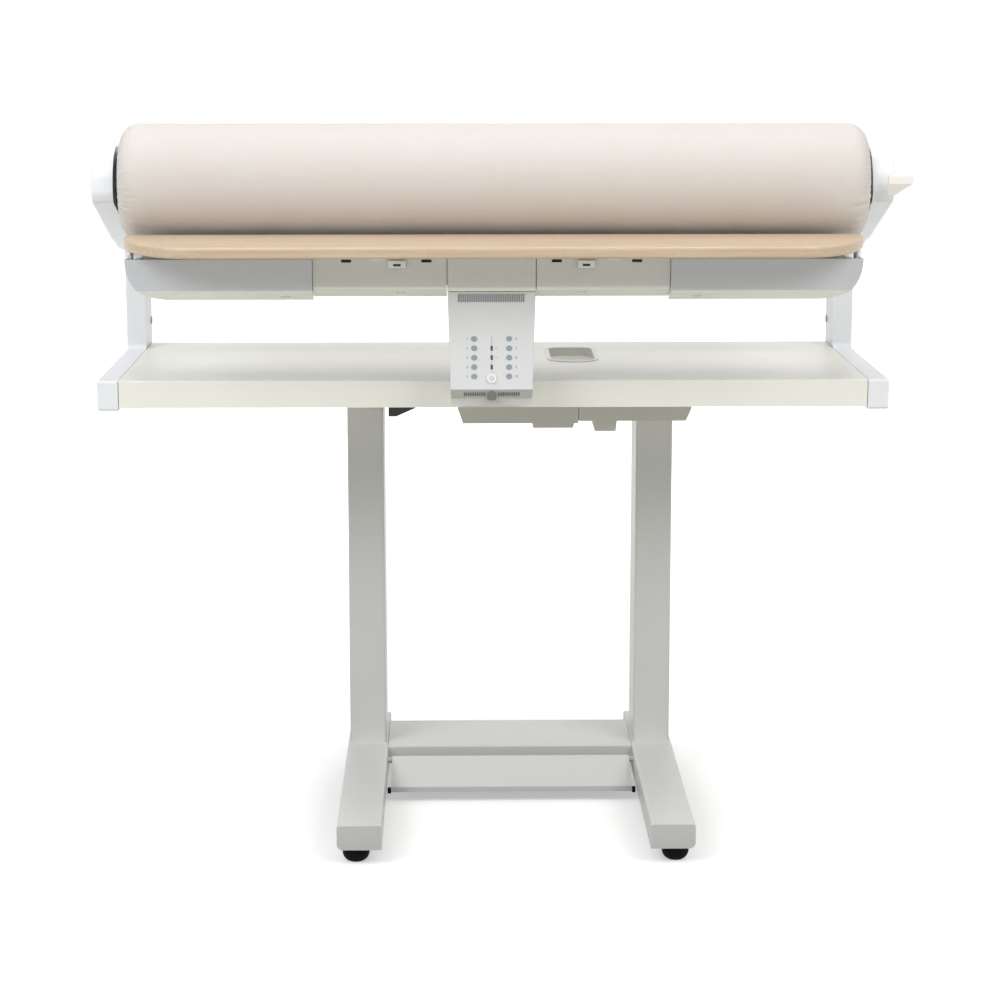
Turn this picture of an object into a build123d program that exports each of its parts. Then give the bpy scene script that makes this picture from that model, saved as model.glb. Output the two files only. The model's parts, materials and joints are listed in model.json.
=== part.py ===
from build123d import *
import os
from math import cos, pi, radians, sin, tan

os.makedirs("parts", exist_ok=True)

# Drawing axes, in millimetres: x = 0 at the middle of the roller, y = 0 on its axis with +y to
# the back, z = 0 on the floor. write() moves every piece so that the part's own origin lies on
# the floor under the middle of its outer box.

# Clearances
running_fit = 0.06
seat_gap = 0.3
slip_fit = 0.1

# Roller
roller_height = 884.0
cover_length = 992.0
cover_radius = 77.0
cover_thickness = 11.0
cover_end_round = 26.0
cover_mouth_radius = 38.0
cover_end_wrap = 11.7
tube_wall = 2.0
end_disc_inset = 2.0
end_disc_thickness = 6.0
end_hub_length = 20.0
end_hub_wall = 8.0
stub_radius = 12.0
stub_length = 44.0

# Roller drive
gear_module = 2.0
ring_teeth = 56
pinion_teeth = 14
gear_width = 14.0
pinion_narrower = 2.0
gear_backlash = 0.6
tooth_angle = 20.0
addendum = 1.6
dedendum = 2.2
tooth_overlap = 0.2
gear_face_gap = 1.0
pinion_shaft_radius = 4.0
pinion_shaft_length = 10.0
pinion_end_gap = 1.0
motor_sleeve_radius = 30.0
motor_flange_radius = 36.0
motor_flange_thickness = 6.0
gearbox_radius = 52.0
gearbox_thickness = 19.0
gearbox_inset = 60.0
motor_radius = 24.0
motor_length = 110.0

# Side frames and upper arms
roller_end_gap = 3.0
frame_width = 28.0
frame_wall = 3.0
frame_edge_round = 2.0
frame_front = -45.0
frame_back = 365.0
frame_bottom_drop = 40.5
post_front = 290.0
frame_split_drop = 89.0
frame_round = 4.0
frame_throat_round = 8.0
frame_cavity_drop = 30.0
notch_front = 164.0
notch_back = 214.0
notch_drop = 16.0
post_top_drop = 27.0
post_screw_inset = 10.0
post_screw_rise = 34.5
split_seam = 0.8
arm_top_rise = 47.0
arm_nose_y = -42.0
arm_nose_drop = 12.0
arm_crown_y = 2.0
arm_brow_y = -22.0
arm_brow_drop = 11.0
arm_snout_y = -38.0
arm_snout_rise = 14.0
arm_chin_y = -36.0
arm_chin_drop = 12.0
arm_root_y = 152.0
arm_back_round = 4.0
arm_crown_round = 14.0
arm_brow_round = 24.0
arm_snout_round = 30.0
arm_nose_round = 12.0
arm_chin_round = 10.0
cable_hole_radius = 8.0
cable_hole_y = 60.0

# Shelf
shelf_top = 625.5
shelf_lip = 36.5
shelf_front = -44.0
shelf_back = 360.0
shelf_sheet = 4.0
shelf_seam = 0.8
shelf_edge_round = 2.0
shelf_screw_pitch = 110.0
shelf_screw_count = 4

# Stand
stand_centre = 27.0
stand_half_spread = 207.0
leg_width = 52.0
leg_depth = 100.0
leg_front = 210.0
leg_wall = 2.0
leg_sole = 5.0
leg_round = 3.0
foot_width = 59.0
foot_height = 33.0
foot_front = -187.0
foot_back = 380.0
foot_wall = 3.0
foot_round = 3.0
foot_low_round = 8.0
rubber_radius = 18.0
rubber_height = 21.4
rubber_flat_radius = 10.0
rubber_skirt = 9.0
rubber_dome_radius = 16.2
rubber_dome_height = 5.58
rubber_stud_radius = 4.0
rubber_outset = 5.0
rubber_front = -160.0
rubber_back = 350.0
base_front = 194.5
base_back = 332.7
base_sheet = 3.0
base_lip = 19.0

# Foot pedal
pedal_pivot_y = 165.0
pedal_pivot_z = 41.0
pedal_pin_radius = 4.0
pedal_sheet = 4.0
pedal_front = 90.0
pedal_front_top = 24.0
pedal_back_top = 46.0
pedal_lip = 4.5
pedal_fold_web = 1.0
pedal_fold_round = 2.0
pedal_hub_wall = 2.0
pedal_end_gap = 6.0
bumper_radius = 4.5
bumper_z = 17.0
bumper_gap = 1.0

# Chassis behind the covers
beam_front = -115.0
beam_depth = 30.0
beam_bottom_drop = 124.0
beam_top_drop = 94.0
beam_wall = 2.0
rail_inset = 13.5
rail_thickness = 6.0
rail_bottom_drop = 114.0
rear_tube_front = 300.0
rear_tube_depth = 36.0

# Heated shoe, drawn closed on the roller and then swung open
shoe_pivot_y = 200.0
shoe_pivot_rise = 5.0
shoe_open_angle = 3.2
shoe_gap = 0.5
shoe_plate_thickness = 8.0
shoe_inset = 41.0
shoe_front_angle = -38.0
shoe_back_angle = 62.0
heater_radius = 3.25
heater_rail_height = 4.0
heater_angle = 12.0
heater_bend = 12.0
heater_inset = 25.0
rail_half_angle = 2.5
rail_root = 1.0
shoe_cover_radius = 104.0
shoe_cover_wall = 2.0
shoe_cover_front_angle = -36.0
shoe_cover_back_angle = 44.0
shoe_cover_wall_angle = 1.1
shoe_cover_mouth = 5.0
shoe_cover_overhang = 5.0
shoe_shaft_radius = 7.0
shoe_shaft_tip_gap = 4.0
shoe_hub_radius = 14.0
shoe_hub_lean = 4.0
shoe_hub_flat = 1.0
shoe_arm_inset = 15.0
shoe_arm_thickness = 6.0
shoe_arm_front_angle = 46.0
shoe_arm_back_angle = 61.0
shoe_arm_low_radius = 112.0

# Hand lever, its cam, and the follower arm of the shoe that the cam lifts
lever_pivot_y = 20.0
lever_pivot_drop = 4.0
lever_travel = 40.0
lever_shaft_radius = 6.0
lever_hub_radius = 11.0
lever_boss_wall = 4.0
cam_radius = 14.0
cam_throw = 13.74
cam_thickness = 10.0
cam_inset = 9.0
cam_side_gap = 1.0
follower_height = 8.0
follower_thickness = 8.0
follower_hub_wall = 4.0
follower_tip_y = 4.0
cam_clearance = 0.3
lever_bar_thickness = 6.0
lever_bar_height = 16.0
grip_reach = 21.0
grip_overlap = 11.0
grip_front = -66.0
grip_back = -54.0
grip_top_rise = 11.4
grip_face = 10.0
grip_bottom_drop = 14.0
grip_corner_reach = 7.0
grip_corner_rise = 7.0
grip_skin = 1.0
grip_root_round = 1.0
grip_tip_round = 4.0
grip_under_round = 8.0
grip_heel_round = 3.0
grip_bar_overlap = 4.0
grip_bar_drop = 2.0

# Covers under the board
housing_centre = -4.0
neck_half_width = 57.5
housing_half_width = 231.0
cover_row_inset = 20.5
cover_seam = 0.6
housing_wall = 2.5
housing_front = -120.0
housing_back = -78.0
housing_top_drop = 87.0
housing_corner_drop = 129.0
housing_low_drop = 143.0
cover_front_round = 6.0
cover_inner_round = 1.0
end_cover_front = -124.0
end_cover_top_drop = 90.5
end_cover_corner_drop = 133.0
end_cover_low_drop = 148.0
end_cover_round = 52.0
end_cover_round_drop = 147.0
neck_front = -121.0
neck_back = -80.0
neck_round = 3.0
slot_width = 13.0
slot_height = 4.0
slot_drop = 93.0
slot_offsets = (84.0, 187.5)
clip_offset = 122.0
clip_width = 23.0
clip_height = 9.0
clip_depth = 3.0
clip_round = 2.5
clip_drop = 96.5
clip_hole_width = 9.0
clip_hole_height = 3.0
cover_screw_y = -100.0
cover_screw_offsets = (117.5, 266.5)
screw_boss_radius = 8.0
screw_recess_radius = 6.5
screw_recess_drop = 128.0
screw_head_radius = 5.5
screw_head_height = 3.5
screw_shank_radius = 2.1
screw_hole_radius = 2.2

# Feed board
board_inset = 15.0
board_back = -64.0
board_top_drop = 63.0
board_depth = 136.0
board_thickness = 15.0
board_slope = 2.32
board_corner_reach = 101.0
board_end_land = 6.0
board_back_corner = 3.0
board_edge_round = 4.0
bracket_back = -88.0
bracket_front = -112.0
bracket_tip = -175.0
bracket_tab = 4.0
bracket_width = 15.0
bracket_offset = 150.0
end_bracket_thickness = 4.0
end_bracket_drop = 103.0

# Control box
panel_front = -115.0
panel_thickness = 2.5
panel_top_drop = 132.4
panel_height = 129.2
panel_top_half = 57.2
panel_bottom_half = 53.4
panel_edge_round = 1.2
box_wall = 2.5
box_base_drop = 22.4
box_base_front = -100.0
box_slope_drop = 13.4
box_slope_setback = 0.8
box_base_half = 52.8
box_corner_round = 5.0
box_mount_offset = 35.0
box_mount_width = 16.0
vent_count = 30
vent_pitch = 2.9
vent_width = 1.4
vent_height = 11.0
vent_drop = 9.0
vent_shift = -0.5
low_vent_count = 10
low_vent_inner = 9.5
low_vent_height = 6.0
latch_width = 11.0
latch_height = 9.0
latch_lift = 1.0
latch_length = 10.75
button_columns = (-22.7, 22.7)
button_top_drop = 62.2
button_pitch = 12.3
button_rows = 5
button_width = 7.4
button_height = 6.8
button_proud = 1.0
button_fit = 0.15
button_flange = 1.0
button_flange_thickness = 1.5
button_stem_radius = 1.5
button_round = 0.6
button_travel = 1.0
lamp_width = 2.7
lamp_height = 6.2
lamp_proud = 0.3
power_rise = 15.6
power_radius = 6.75
power_proud = 2.0
power_round = 0.8
circuit_gap = 6.5
circuit_thickness = 1.6
circuit_half_width = 44.0
circuit_bottom_rise = 5.6
circuit_top_drop = 23.6
circuit_post_radius = 3.0
circuit_post_inset = 5.0

# Boxes under the shelf
under_box_front = 20.0
under_box_wall = 2.5
boiler_box_left = -48.0
boiler_box_left_low = -41.0
boiler_box_back = 200.0
boiler_box_drop = 68.5
boiler_step_drop = 74.9
boiler_step_left = 53.0
boiler_step_right = 110.0
box_seam_x = 116.0
box_seam = 0.6
box_taper_drop = 48.5
box_step_slant = 1.5
tank_box_right = 269.5
tank_box_right_low = 262.0
tank_box_back = 204.0
tank_box_drop = 65.5
tank_step_drop = 79.5
tank_step_left = 136.5
tank_step_right = 168.0
boiler_width = 66.0
boiler_depth = 130.0
boiler_height = 48.0
boiler_x = -2.0
boiler_front = 40.0
boiler_round = 12.0
boiler_nipple_inset = 20.0
boiler_nipple_length = 5.0
nipple_radius = 4.0
pump_width = 40.0
pump_depth = 60.0
pump_height = 38.0
pump_front = 50.0
pump_round = 6.0
pump_nipple_length = 6.0
tank_wall = 2.5
tank_clearance = 2.0
tank_round = 8.0
tank_port_shift = 2.0

# Filler well in the shelf
well_left = 78.0
well_right = 151.0
well_near = 130.0
well_far = 290.0
well_bow = 35.0
well_far_round = 22.0
well_rim = 3.0
well_rim_height = 1.2
well_wall = 2.5
well_depth = 11.0
port_x = 130.0
port_y = 160.0
port_radius = 9.0
lid_radius = 12.0
lid_thickness = 2.0
lid_pin_radius = 1.0
lid_barrel_radius = 1.8
lid_barrel_length = 10.0
lid_lug_thickness = 2.0

# Cord inlet under the shelf
gland_left = -146.0
gland_right = -108.0
gland_front = 180.0
gland_depth = 30.0
gland_drop = 83.5
gland_bore_radius = 5.0
gland_bore_inset = 12.0
gland_bore_rise = 26.0
gland_slant_width = 27.0
gland_slant_height = 12.0

# Heights
frame_split = roller_height - frame_split_drop
arm_top = roller_height + arm_top_rise
arm_nose_z = roller_height - arm_nose_drop
arm_snout_z = roller_height + arm_snout_rise
beam_bottom = roller_height - beam_bottom_drop
beam_top = roller_height - beam_top_drop
rail_bottom = roller_height - rail_bottom_drop
shoe_pivot_z = roller_height + shoe_pivot_rise
lever_pivot_z = roller_height - lever_pivot_drop
grip_top = roller_height + grip_top_rise
grip_bottom = roller_height - grip_bottom_drop
housing_top = roller_height - housing_top_drop
end_cover_top = roller_height - end_cover_top_drop
housing_corner_z = roller_height - housing_corner_drop
housing_low_z = roller_height - housing_low_drop
end_cover_corner_z = roller_height - end_cover_corner_drop
end_cover_low_z = roller_height - end_cover_low_drop
end_cover_round_base = roller_height - end_cover_round_drop
slot_z = roller_height - slot_drop
clip_z = roller_height - clip_drop
screw_recess_top = roller_height - screw_recess_drop
board_top = roller_height - board_top_drop
end_bracket_bottom = roller_height - end_bracket_drop
panel_top = roller_height - panel_top_drop
panel_bottom = panel_top - panel_height
vent_z = panel_top - vent_drop
button_top_row = panel_top - button_top_drop
power_z = panel_bottom + power_rise
circuit_bottom = panel_bottom + circuit_bottom_rise
circuit_top = panel_top - circuit_top_drop
frame_bottom = shelf_top - frame_bottom_drop
post_screw_z = shelf_top + post_screw_rise
boiler_box_bottom = shelf_top - boiler_box_drop
boiler_box_step = shelf_top - boiler_step_drop
box_taper_z = shelf_top - box_taper_drop
tank_box_bottom = shelf_top - tank_box_drop
tank_box_step = shelf_top - tank_step_drop
gland_bottom = shelf_top - gland_drop

# Worked-out places
half_cover = cover_length / 2
frame_inner = half_cover + roller_end_gap
frame_outer = frame_inner + frame_width
board_half_width = half_cover - board_inset
cover_row_half_width = half_cover - cover_row_inset
rail_inner = cover_row_half_width - rail_inset
shoe_half_length = half_cover - shoe_inset
shoe_cover_half_length = shoe_half_length + shoe_cover_overhang
shoe_arm_inner = shoe_half_length - shoe_arm_inset
heater_half_length = shoe_half_length - heater_inset
grip_inner_x = frame_outer - grip_overlap
grip_outer_x = frame_outer + grip_reach
tube_radius = cover_radius - cover_thickness
tube_inner = tube_radius - tube_wall
half_tube = half_cover - cover_end_wrap - seat_gap
shelf_bottom = shelf_top - shelf_lip
shelf_underside = shelf_top - shelf_sheet
foot_top = rubber_height + foot_height
foot_inner_left = stand_centre - stand_half_spread + foot_width / 2
foot_inner_right = stand_centre + stand_half_spread - foot_width / 2
beam_back = beam_front + beam_depth
rail_outer = rail_inner + rail_thickness
pinion_offset = gear_module * (ring_teeth - pinion_teeth) / 2
gearbox_face = frame_inner - gearbox_inset
shoe_inner_radius = cover_radius + shoe_gap
shoe_outer_radius = shoe_inner_radius + shoe_plate_thickness
shoe_fit_radius = shoe_outer_radius + seat_gap
cam_swing = lever_travel / 2
follower_under = lever_pivot_z + cam_throw * sin(radians(cam_swing)) + cam_radius + cam_clearance
cam_left = frame_inner + cam_inset
board_front = board_back - board_depth
button_row_heights = [button_top_row - button_pitch * row for row in range(button_rows)]
screw_bosses_left = [housing_centre - offset for offset in cover_screw_offsets]
screw_bosses_right = [housing_centre + offset for offset in cover_screw_offsets]
circuit_front = panel_front + panel_thickness + circuit_gap
panel_back = panel_front + panel_thickness
box_base = panel_bottom - box_base_drop
box_slope_base = panel_bottom - box_slope_drop
box_back = shelf_front - seat_gap

frame_shift = (
    (frame_outer - grip_outer_x) / 2,
    -(board_front + foot_back) / 2,
    0.0,
)


def facing(y):
    """Upright plane at depth y, seen from the front: local x is right, local y is up."""
    return Plane.XZ.offset(-y)


def across(x):
    """Upright plane at x, seen from the right: local x is back, local y is up."""
    return Plane.YZ.offset(x)


def on_roller(radius, angle):
    """Point at a radius from the roller's axis, at an angle from straight down to the back."""
    return (
        radius * sin(radians(angle)),
        roller_height - radius * cos(radians(angle)),
    )


def outline(points, radii=0.0):
    """Closed face through points, each corner rounded with its own radius."""
    with BuildLine() as edge_line:
        FilletPolyline(*points, radius=radii, close=True)
    make_face(edge_line.edges())


def sector(inner, outer, start, end):
    """Face between two radii and two angles about the roller's axis."""
    middle = (start + end) / 2
    with BuildLine() as edge_line:
        ThreePointArc(on_roller(inner, start), on_roller(inner, middle), on_roller(inner, end))
        Line(on_roller(inner, end), on_roller(outer, end))
        ThreePointArc(on_roller(outer, end), on_roller(outer, middle), on_roller(outer, start))
        Line(on_roller(outer, start), on_roller(inner, start))
    make_face(edge_line.edges())


def rod_x(radius, start, end, y, z, mode=Mode.ADD):
    """Round bar along x in the part that is being built."""
    with BuildSketch(across(start)) as section:
        with Locations((y, z)):
            Circle(radius)
    extrude(section.sketch, amount=end - start, mode=mode)


def write(piece, name):
    """Move a finished piece to the part's own origin and write it."""
    placed = piece.part.moved(Location(frame_shift))
    placed.label = name
    export_step(placed, "parts/" + name + ".step")


def opened(piece):
    """Swing a piece of the closed shoe to its open rest position."""
    axis = Axis((0, shoe_pivot_y, shoe_pivot_z), (1, 0, 0))
    piece.part = piece.part.rotate(axis, shoe_open_angle)
    return piece


def board_under(y):
    """Height of the feed board's underside at depth y."""
    drop = (board_back - y) * tan(radians(board_slope))
    return board_top - drop - board_thickness / cos(radians(board_slope))


# ---------------------------------------------------------------- stand


def build_foot(name, side):
    """Floor foot: closed steel box with a rounded lower outer edge and a hole for each stud."""
    centre = stand_centre + side * stand_half_spread
    length = foot_back - foot_front
    with BuildPart() as foot:
        with BuildSketch(facing(foot_back)):
            with Locations((centre, rubber_height + foot_height / 2)):
                Rectangle(foot_width, foot_height)
        extrude(amount=length)
        long_edges = foot.edges().filter_by(Axis.Y)
        low_outer = long_edges.group_by(Axis.Z)[0].sort_by(Axis.X)[0 if side < 0 else -1]
        fillet(low_outer, radius=foot_low_round)
        fillet(foot.edges().filter_by(Axis.Y).group_by(Axis.Z)[-1], radius=foot_round)
        with BuildSketch(facing(foot_back - foot_wall)):
            with Locations((centre, rubber_height + foot_height / 2)):
                RectangleRounded(
                    foot_width - 2 * foot_wall, foot_height - 2 * foot_wall, foot_low_round - foot_wall
                )
        extrude(amount=length - 2 * foot_wall, mode=Mode.SUBTRACT)
        with BuildSketch(Plane.XY.offset(rubber_height)):
            with Locations(
                (centre + side * rubber_outset, rubber_front), (centre + side * rubber_outset, rubber_back)
            ):
                Circle(rubber_stud_radius + slip_fit)
        extrude(amount=foot_wall, mode=Mode.SUBTRACT)
        wall_face = centre - side * foot_width / 2
        rod_x(
            pedal_pin_radius + running_fit, wall_face, wall_face + side * foot_wall,
            pedal_pivot_y, pedal_pivot_z, Mode.SUBTRACT,
        )
    write(foot, name)


def build_leg(name, side):
    """Upright leg: rectangular steel tube with a sole plate, up to the shelf's underside."""
    centre = (stand_centre + side * stand_half_spread, leg_front + leg_depth / 2)
    with BuildPart() as leg:
        with BuildSketch(Plane.XY.offset(foot_top)):
            with Locations(centre):
                RectangleRounded(leg_width, leg_depth, leg_round)
        extrude(amount=shelf_underside - foot_top)
        with BuildSketch(Plane.XY.offset(foot_top + leg_sole)):
            with Locations(centre):
                RectangleRounded(leg_width - 2 * leg_wall, leg_depth - 2 * leg_wall, leg_round - leg_wall)
        extrude(amount=shelf_underside - foot_top - leg_sole, mode=Mode.SUBTRACT)
    write(leg, name)


build_foot("foot_left", -1)
build_foot("foot_right", 1)
build_leg("leg_left", -1)
build_leg("leg_right", 1)

with BuildPart() as rubber_feet:
    for side in (-1, 1):
        for foot_y in (rubber_front, rubber_back):
            foot_x = stand_centre + side * (stand_half_spread + rubber_outset)
            with BuildSketch(Plane((foot_x, foot_y, 0), x_dir=(1, 0, 0), z_dir=(0, -1, 0))):
                with BuildLine():
                    Polyline((0, rubber_height), (0, 0), (rubber_flat_radius, 0))
                    ThreePointArc(
                        (rubber_flat_radius, 0),
                        (rubber_dome_radius, rubber_dome_height),
                        (rubber_radius, rubber_height - rubber_skirt),
                    )
                    Polyline(
                        (rubber_radius, rubber_height - rubber_skirt),
                        (rubber_radius, rubber_height),
                        (0, rubber_height),
                    )
                make_face()
            revolve(axis=Axis((foot_x, foot_y, 0), (0, 0, 1)))
            with Locations((foot_x, foot_y, rubber_height)):
                Cylinder(rubber_stud_radius, foot_wall, align=(Align.CENTER, Align.CENTER, Align.MIN))
write(rubber_feet, "rubber_feet")

with BuildPart() as base_plate:
    with BuildSketch(across(foot_inner_left)):
        outline(
            [
                (base_front, foot_top - base_lip),
                (base_front, foot_top),
                (base_back, foot_top),
                (base_back, foot_top - base_lip),
                (base_back - base_sheet, foot_top - base_lip),
                (base_back - base_sheet, foot_top - base_sheet),
                (base_front + base_sheet, foot_top - base_sheet),
                (base_front + base_sheet, foot_top - base_lip),
            ],
            [0, base_sheet, base_sheet, 0, 0, 0, 0, 0],
        )
    extrude(amount=foot_inner_right - foot_inner_left)
write(base_plate, "base_plate")

pedal_left = foot_inner_left + pedal_end_gap
pedal_right = foot_inner_right - pedal_end_gap

with BuildPart() as pedal_plate:
    with BuildSketch(across(pedal_left)):
        outline(
            [
                (pedal_pivot_y, pedal_back_top),
                (pedal_front, pedal_front_top),
                (pedal_front, pedal_front_top - pedal_sheet - pedal_lip),
                (pedal_front + pedal_sheet, pedal_front_top - pedal_sheet - pedal_lip),
                (pedal_front + pedal_sheet, pedal_front_top - pedal_sheet + pedal_fold_web),
                (pedal_pivot_y, pedal_back_top - pedal_sheet),
            ],
            [0, pedal_fold_round, 0, 0, 0, 0],
        )
        with Locations((pedal_pivot_y, pedal_pivot_z)):
            Circle(pedal_pin_radius + pedal_hub_wall)
    extrude(amount=pedal_right - pedal_left)
    rod_x(
        pedal_pin_radius, foot_inner_left - foot_wall, foot_inner_right + foot_wall,
        pedal_pivot_y, pedal_pivot_z,
    )
write(pedal_plate, "pedal_plate")

with BuildPart() as pedal_bumpers:
    bumper_length = pedal_end_gap - bumper_gap
    rod_x(bumper_radius, pedal_left - bumper_length, pedal_left, pedal_front + bumper_radius, bumper_z)
    rod_x(bumper_radius, pedal_right, pedal_right + bumper_length, pedal_front + bumper_radius, bumper_z)
write(pedal_bumpers, "pedal_bumpers")

# ---------------------------------------------------------------- shelf

shelf_half = frame_inner - shelf_seam
shelf_screw_depths = [shelf_screw_pitch * number for number in range(shelf_screw_count)]
shelf_screw_z = shelf_top - shelf_lip / 2


def well_outline(inset):
    """The well's plan: straight far edge with rounded ends, bowed near edge."""
    middle = (well_left + well_right) / 2
    left = well_left + inset
    right = well_right - inset
    near_corner = well_near + well_bow
    round_end = well_far_round - inset
    with BuildLine() as edge_line:
        ThreePointArc((left, near_corner), (middle, well_near + inset), (right, near_corner))
        Line((right, near_corner), (right, well_far - well_far_round))
        RadiusArc(
            (right, well_far - well_far_round), (right - round_end, well_far - inset), -round_end
        )
        Line((right - round_end, well_far - inset), (left + round_end, well_far - inset))
        RadiusArc(
            (left + round_end, well_far - inset), (left, well_far - well_far_round), -round_end
        )
        Line((left, well_far - well_far_round), (left, near_corner))
    make_face(edge_line.edges())


with BuildPart() as shelf_panel:
    with BuildSketch(Plane.XY.offset(shelf_bottom)):
        with Locations((0, (shelf_front + shelf_back) / 2)):
            Rectangle(2 * shelf_half, shelf_back - shelf_front)
    extrude(amount=shelf_lip)
    front_top = shelf_panel.edges().filter_by(Axis.X).group_by(Axis.Z)[-1].sort_by(Axis.Y)[0]
    fillet(front_top, radius=shelf_edge_round)
    with BuildSketch(Plane.XY.offset(shelf_bottom)):
        with Locations((0, (shelf_front + shelf_back) / 2)):
            Rectangle(2 * (shelf_half - shelf_sheet), shelf_back - shelf_front - 2 * shelf_sheet)
    extrude(amount=shelf_lip - shelf_sheet, mode=Mode.SUBTRACT)
    with BuildSketch(Plane.XY.offset(shelf_underside)):
        well_outline(well_rim - seat_gap)
    extrude(amount=shelf_sheet, mode=Mode.SUBTRACT)
    for depth in shelf_screw_depths:
        rod_x(screw_hole_radius, -shelf_half, shelf_half, depth, shelf_screw_z, Mode.SUBTRACT)
write(shelf_panel, "shelf_panel")

well_floor = shelf_top - well_depth

with BuildPart() as filler_well:
    with BuildSketch(Plane.XY.offset(shelf_top)):
        well_outline(0.0)
    extrude(amount=well_rim_height)
    with BuildSketch(Plane.XY.offset(well_floor - well_wall)):
        well_outline(well_rim)
    extrude(amount=well_depth + well_wall)
    with BuildSketch(Plane.XY.offset(well_floor)):
        well_outline(well_rim + well_wall)
    extrude(amount=well_depth + well_rim_height, mode=Mode.SUBTRACT)
    with Locations((port_x, port_y, well_floor - well_wall)):
        Cylinder(
            port_radius, well_wall, align=(Align.CENTER, Align.CENTER, Align.MIN), mode=Mode.SUBTRACT
        )
    lid_axis_y = port_y + lid_radius + lid_barrel_radius
    lid_axis_z = well_floor + lid_barrel_radius + seat_gap
    for side in (-1, 1):
        lug_centre = port_x + side * (lid_barrel_length + lid_lug_thickness + 2 * slip_fit) / 2
        with BuildSketch(across(lug_centre - lid_lug_thickness / 2)):
            with Locations((lid_axis_y, well_floor)):
                Rectangle(
                    2 * lid_barrel_radius, lid_barrel_radius + seat_gap, align=(Align.CENTER, Align.MIN)
                )
            with Locations((lid_axis_y, lid_axis_z)):
                Circle(lid_barrel_radius)
                Circle(lid_pin_radius + running_fit, mode=Mode.SUBTRACT)
        extrude(amount=lid_lug_thickness)
write(filler_well, "filler_well")

with BuildPart() as filler_lid:
    with Locations((port_x, port_y, well_floor + seat_gap)):
        Cylinder(lid_radius, lid_thickness, align=(Align.CENTER, Align.CENTER, Align.MIN))
    with Locations((port_x, port_y + lid_radius, well_floor + seat_gap)):
        Box(
            lid_barrel_length, 2 * lid_barrel_radius, lid_thickness,
            align=(Align.CENTER, Align.CENTER, Align.MIN),
        )
    barrel_half = lid_barrel_length / 2
    pin_half = barrel_half + slip_fit + lid_lug_thickness
    rod_x(lid_barrel_radius, port_x - barrel_half, port_x + barrel_half, lid_axis_y, lid_axis_z)
    rod_x(lid_pin_radius, port_x - pin_half, port_x + pin_half, lid_axis_y, lid_axis_z)
write(filler_lid, "filler_lid")

# ---------------------------------------------------------------- side frames and arms

frame_points = [
    (frame_front, frame_bottom),
    (frame_back, frame_bottom),
    (frame_back, frame_split),
    (notch_front, frame_split),
    (notch_back, frame_split - notch_drop),
    (post_front, frame_split - post_top_drop),
    (post_front, shelf_top),
    (frame_front, shelf_top),
]
frame_rounds = [
    frame_round, frame_round, 0, 0, frame_round, frame_round, frame_throat_round, frame_round
]
frame_cavity_points = [
    (frame_front + frame_wall, frame_bottom + frame_wall),
    (frame_back - frame_wall, frame_bottom + frame_wall),
    (frame_back - frame_wall, frame_split - frame_cavity_drop),
    (post_front + frame_wall, frame_split - frame_cavity_drop),
    (post_front + frame_wall, shelf_top - frame_wall),
    (frame_front + frame_wall, shelf_top - frame_wall),
]

arm_bottom = frame_split + split_seam
arm_points = [
    (frame_back, arm_bottom),
    (frame_back, arm_top),
    (arm_crown_y, arm_top),
    (arm_brow_y, arm_top - arm_brow_drop),
    (arm_snout_y, arm_snout_z),
    (arm_nose_y, arm_nose_z),
    (arm_chin_y, arm_nose_z - arm_chin_drop),
    (arm_root_y, arm_bottom),
]
arm_rounds = [0, arm_back_round, arm_crown_round, arm_brow_round, arm_snout_round, arm_nose_round, arm_chin_round, 0]


def build_side_frame(name, side):
    """Lower arm and rear post in one hollow piece, open inside through a cable hole."""
    inner = side * frame_inner
    with BuildPart() as frame:
        with BuildSketch(across(inner)):
            outline(frame_points, frame_rounds)
        extrude(amount=side * frame_width)
        outer_face = frame.faces().sort_by(Axis.X)[0 if side < 0 else -1]
        fillet(outer_face.edges(), radius=frame_edge_round)
        with BuildSketch(across(inner + side * frame_wall)):
            outline(frame_cavity_points)
        extrude(amount=side * (frame_width - 2 * frame_wall), mode=Mode.SUBTRACT)
        rod_x(cable_hole_radius, inner, inner + side * frame_wall, cable_hole_y, shelf_screw_z, Mode.SUBTRACT)
        for depth in shelf_screw_depths:
            rod_x(screw_hole_radius, inner, inner + side * frame_wall, depth, shelf_screw_z, Mode.SUBTRACT)
    write(frame, name)


def build_arm(name, side, open_outside):
    """Upper arm: hollow, with a bore for the shoe's shaft; the right one is closed by a cap."""
    inner = side * frame_inner
    cavity_depth = frame_width - (1 if open_outside else 2) * frame_wall
    with BuildPart() as arm:
        with BuildSketch(across(inner)):
            outline(arm_points, arm_rounds)
        extrude(amount=side * frame_width)
        outer_face = arm.faces().sort_by(Axis.X)[0 if side < 0 else -1]
        fillet(outer_face.edges(), radius=frame_edge_round)
        with BuildSketch(across(inner + side * frame_wall)):
            outline(arm_points, arm_rounds)
            offset(amount=-frame_wall, kind=Kind.INTERSECTION, mode=Mode.REPLACE)
        extrude(amount=side * cavity_depth, mode=Mode.SUBTRACT)
        rod_x(
            shoe_shaft_radius + running_fit, inner, inner + side * frame_wall,
            shoe_pivot_y, shoe_pivot_z, Mode.SUBTRACT,
        )
        if open_outside:
            boss_length = cam_inset - frame_wall - cam_side_gap
            boss_start = inner + frame_wall
            rod_x(
                lever_shaft_radius + lever_boss_wall, boss_start, boss_start + boss_length,
                lever_pivot_y, lever_pivot_z,
            )
            rod_x(
                lever_shaft_radius + running_fit, boss_start, boss_start + boss_length,
                lever_pivot_y, lever_pivot_z, Mode.SUBTRACT,
            )
        else:
            rod_x(stub_radius, inner + stub_length, inner, 0, roller_height)
    write(arm, name)


build_side_frame("side_frame_left", -1)
build_side_frame("side_frame_right", 1)
build_arm("arm_left", -1, False)
build_arm("arm_right", 1, True)

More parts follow.
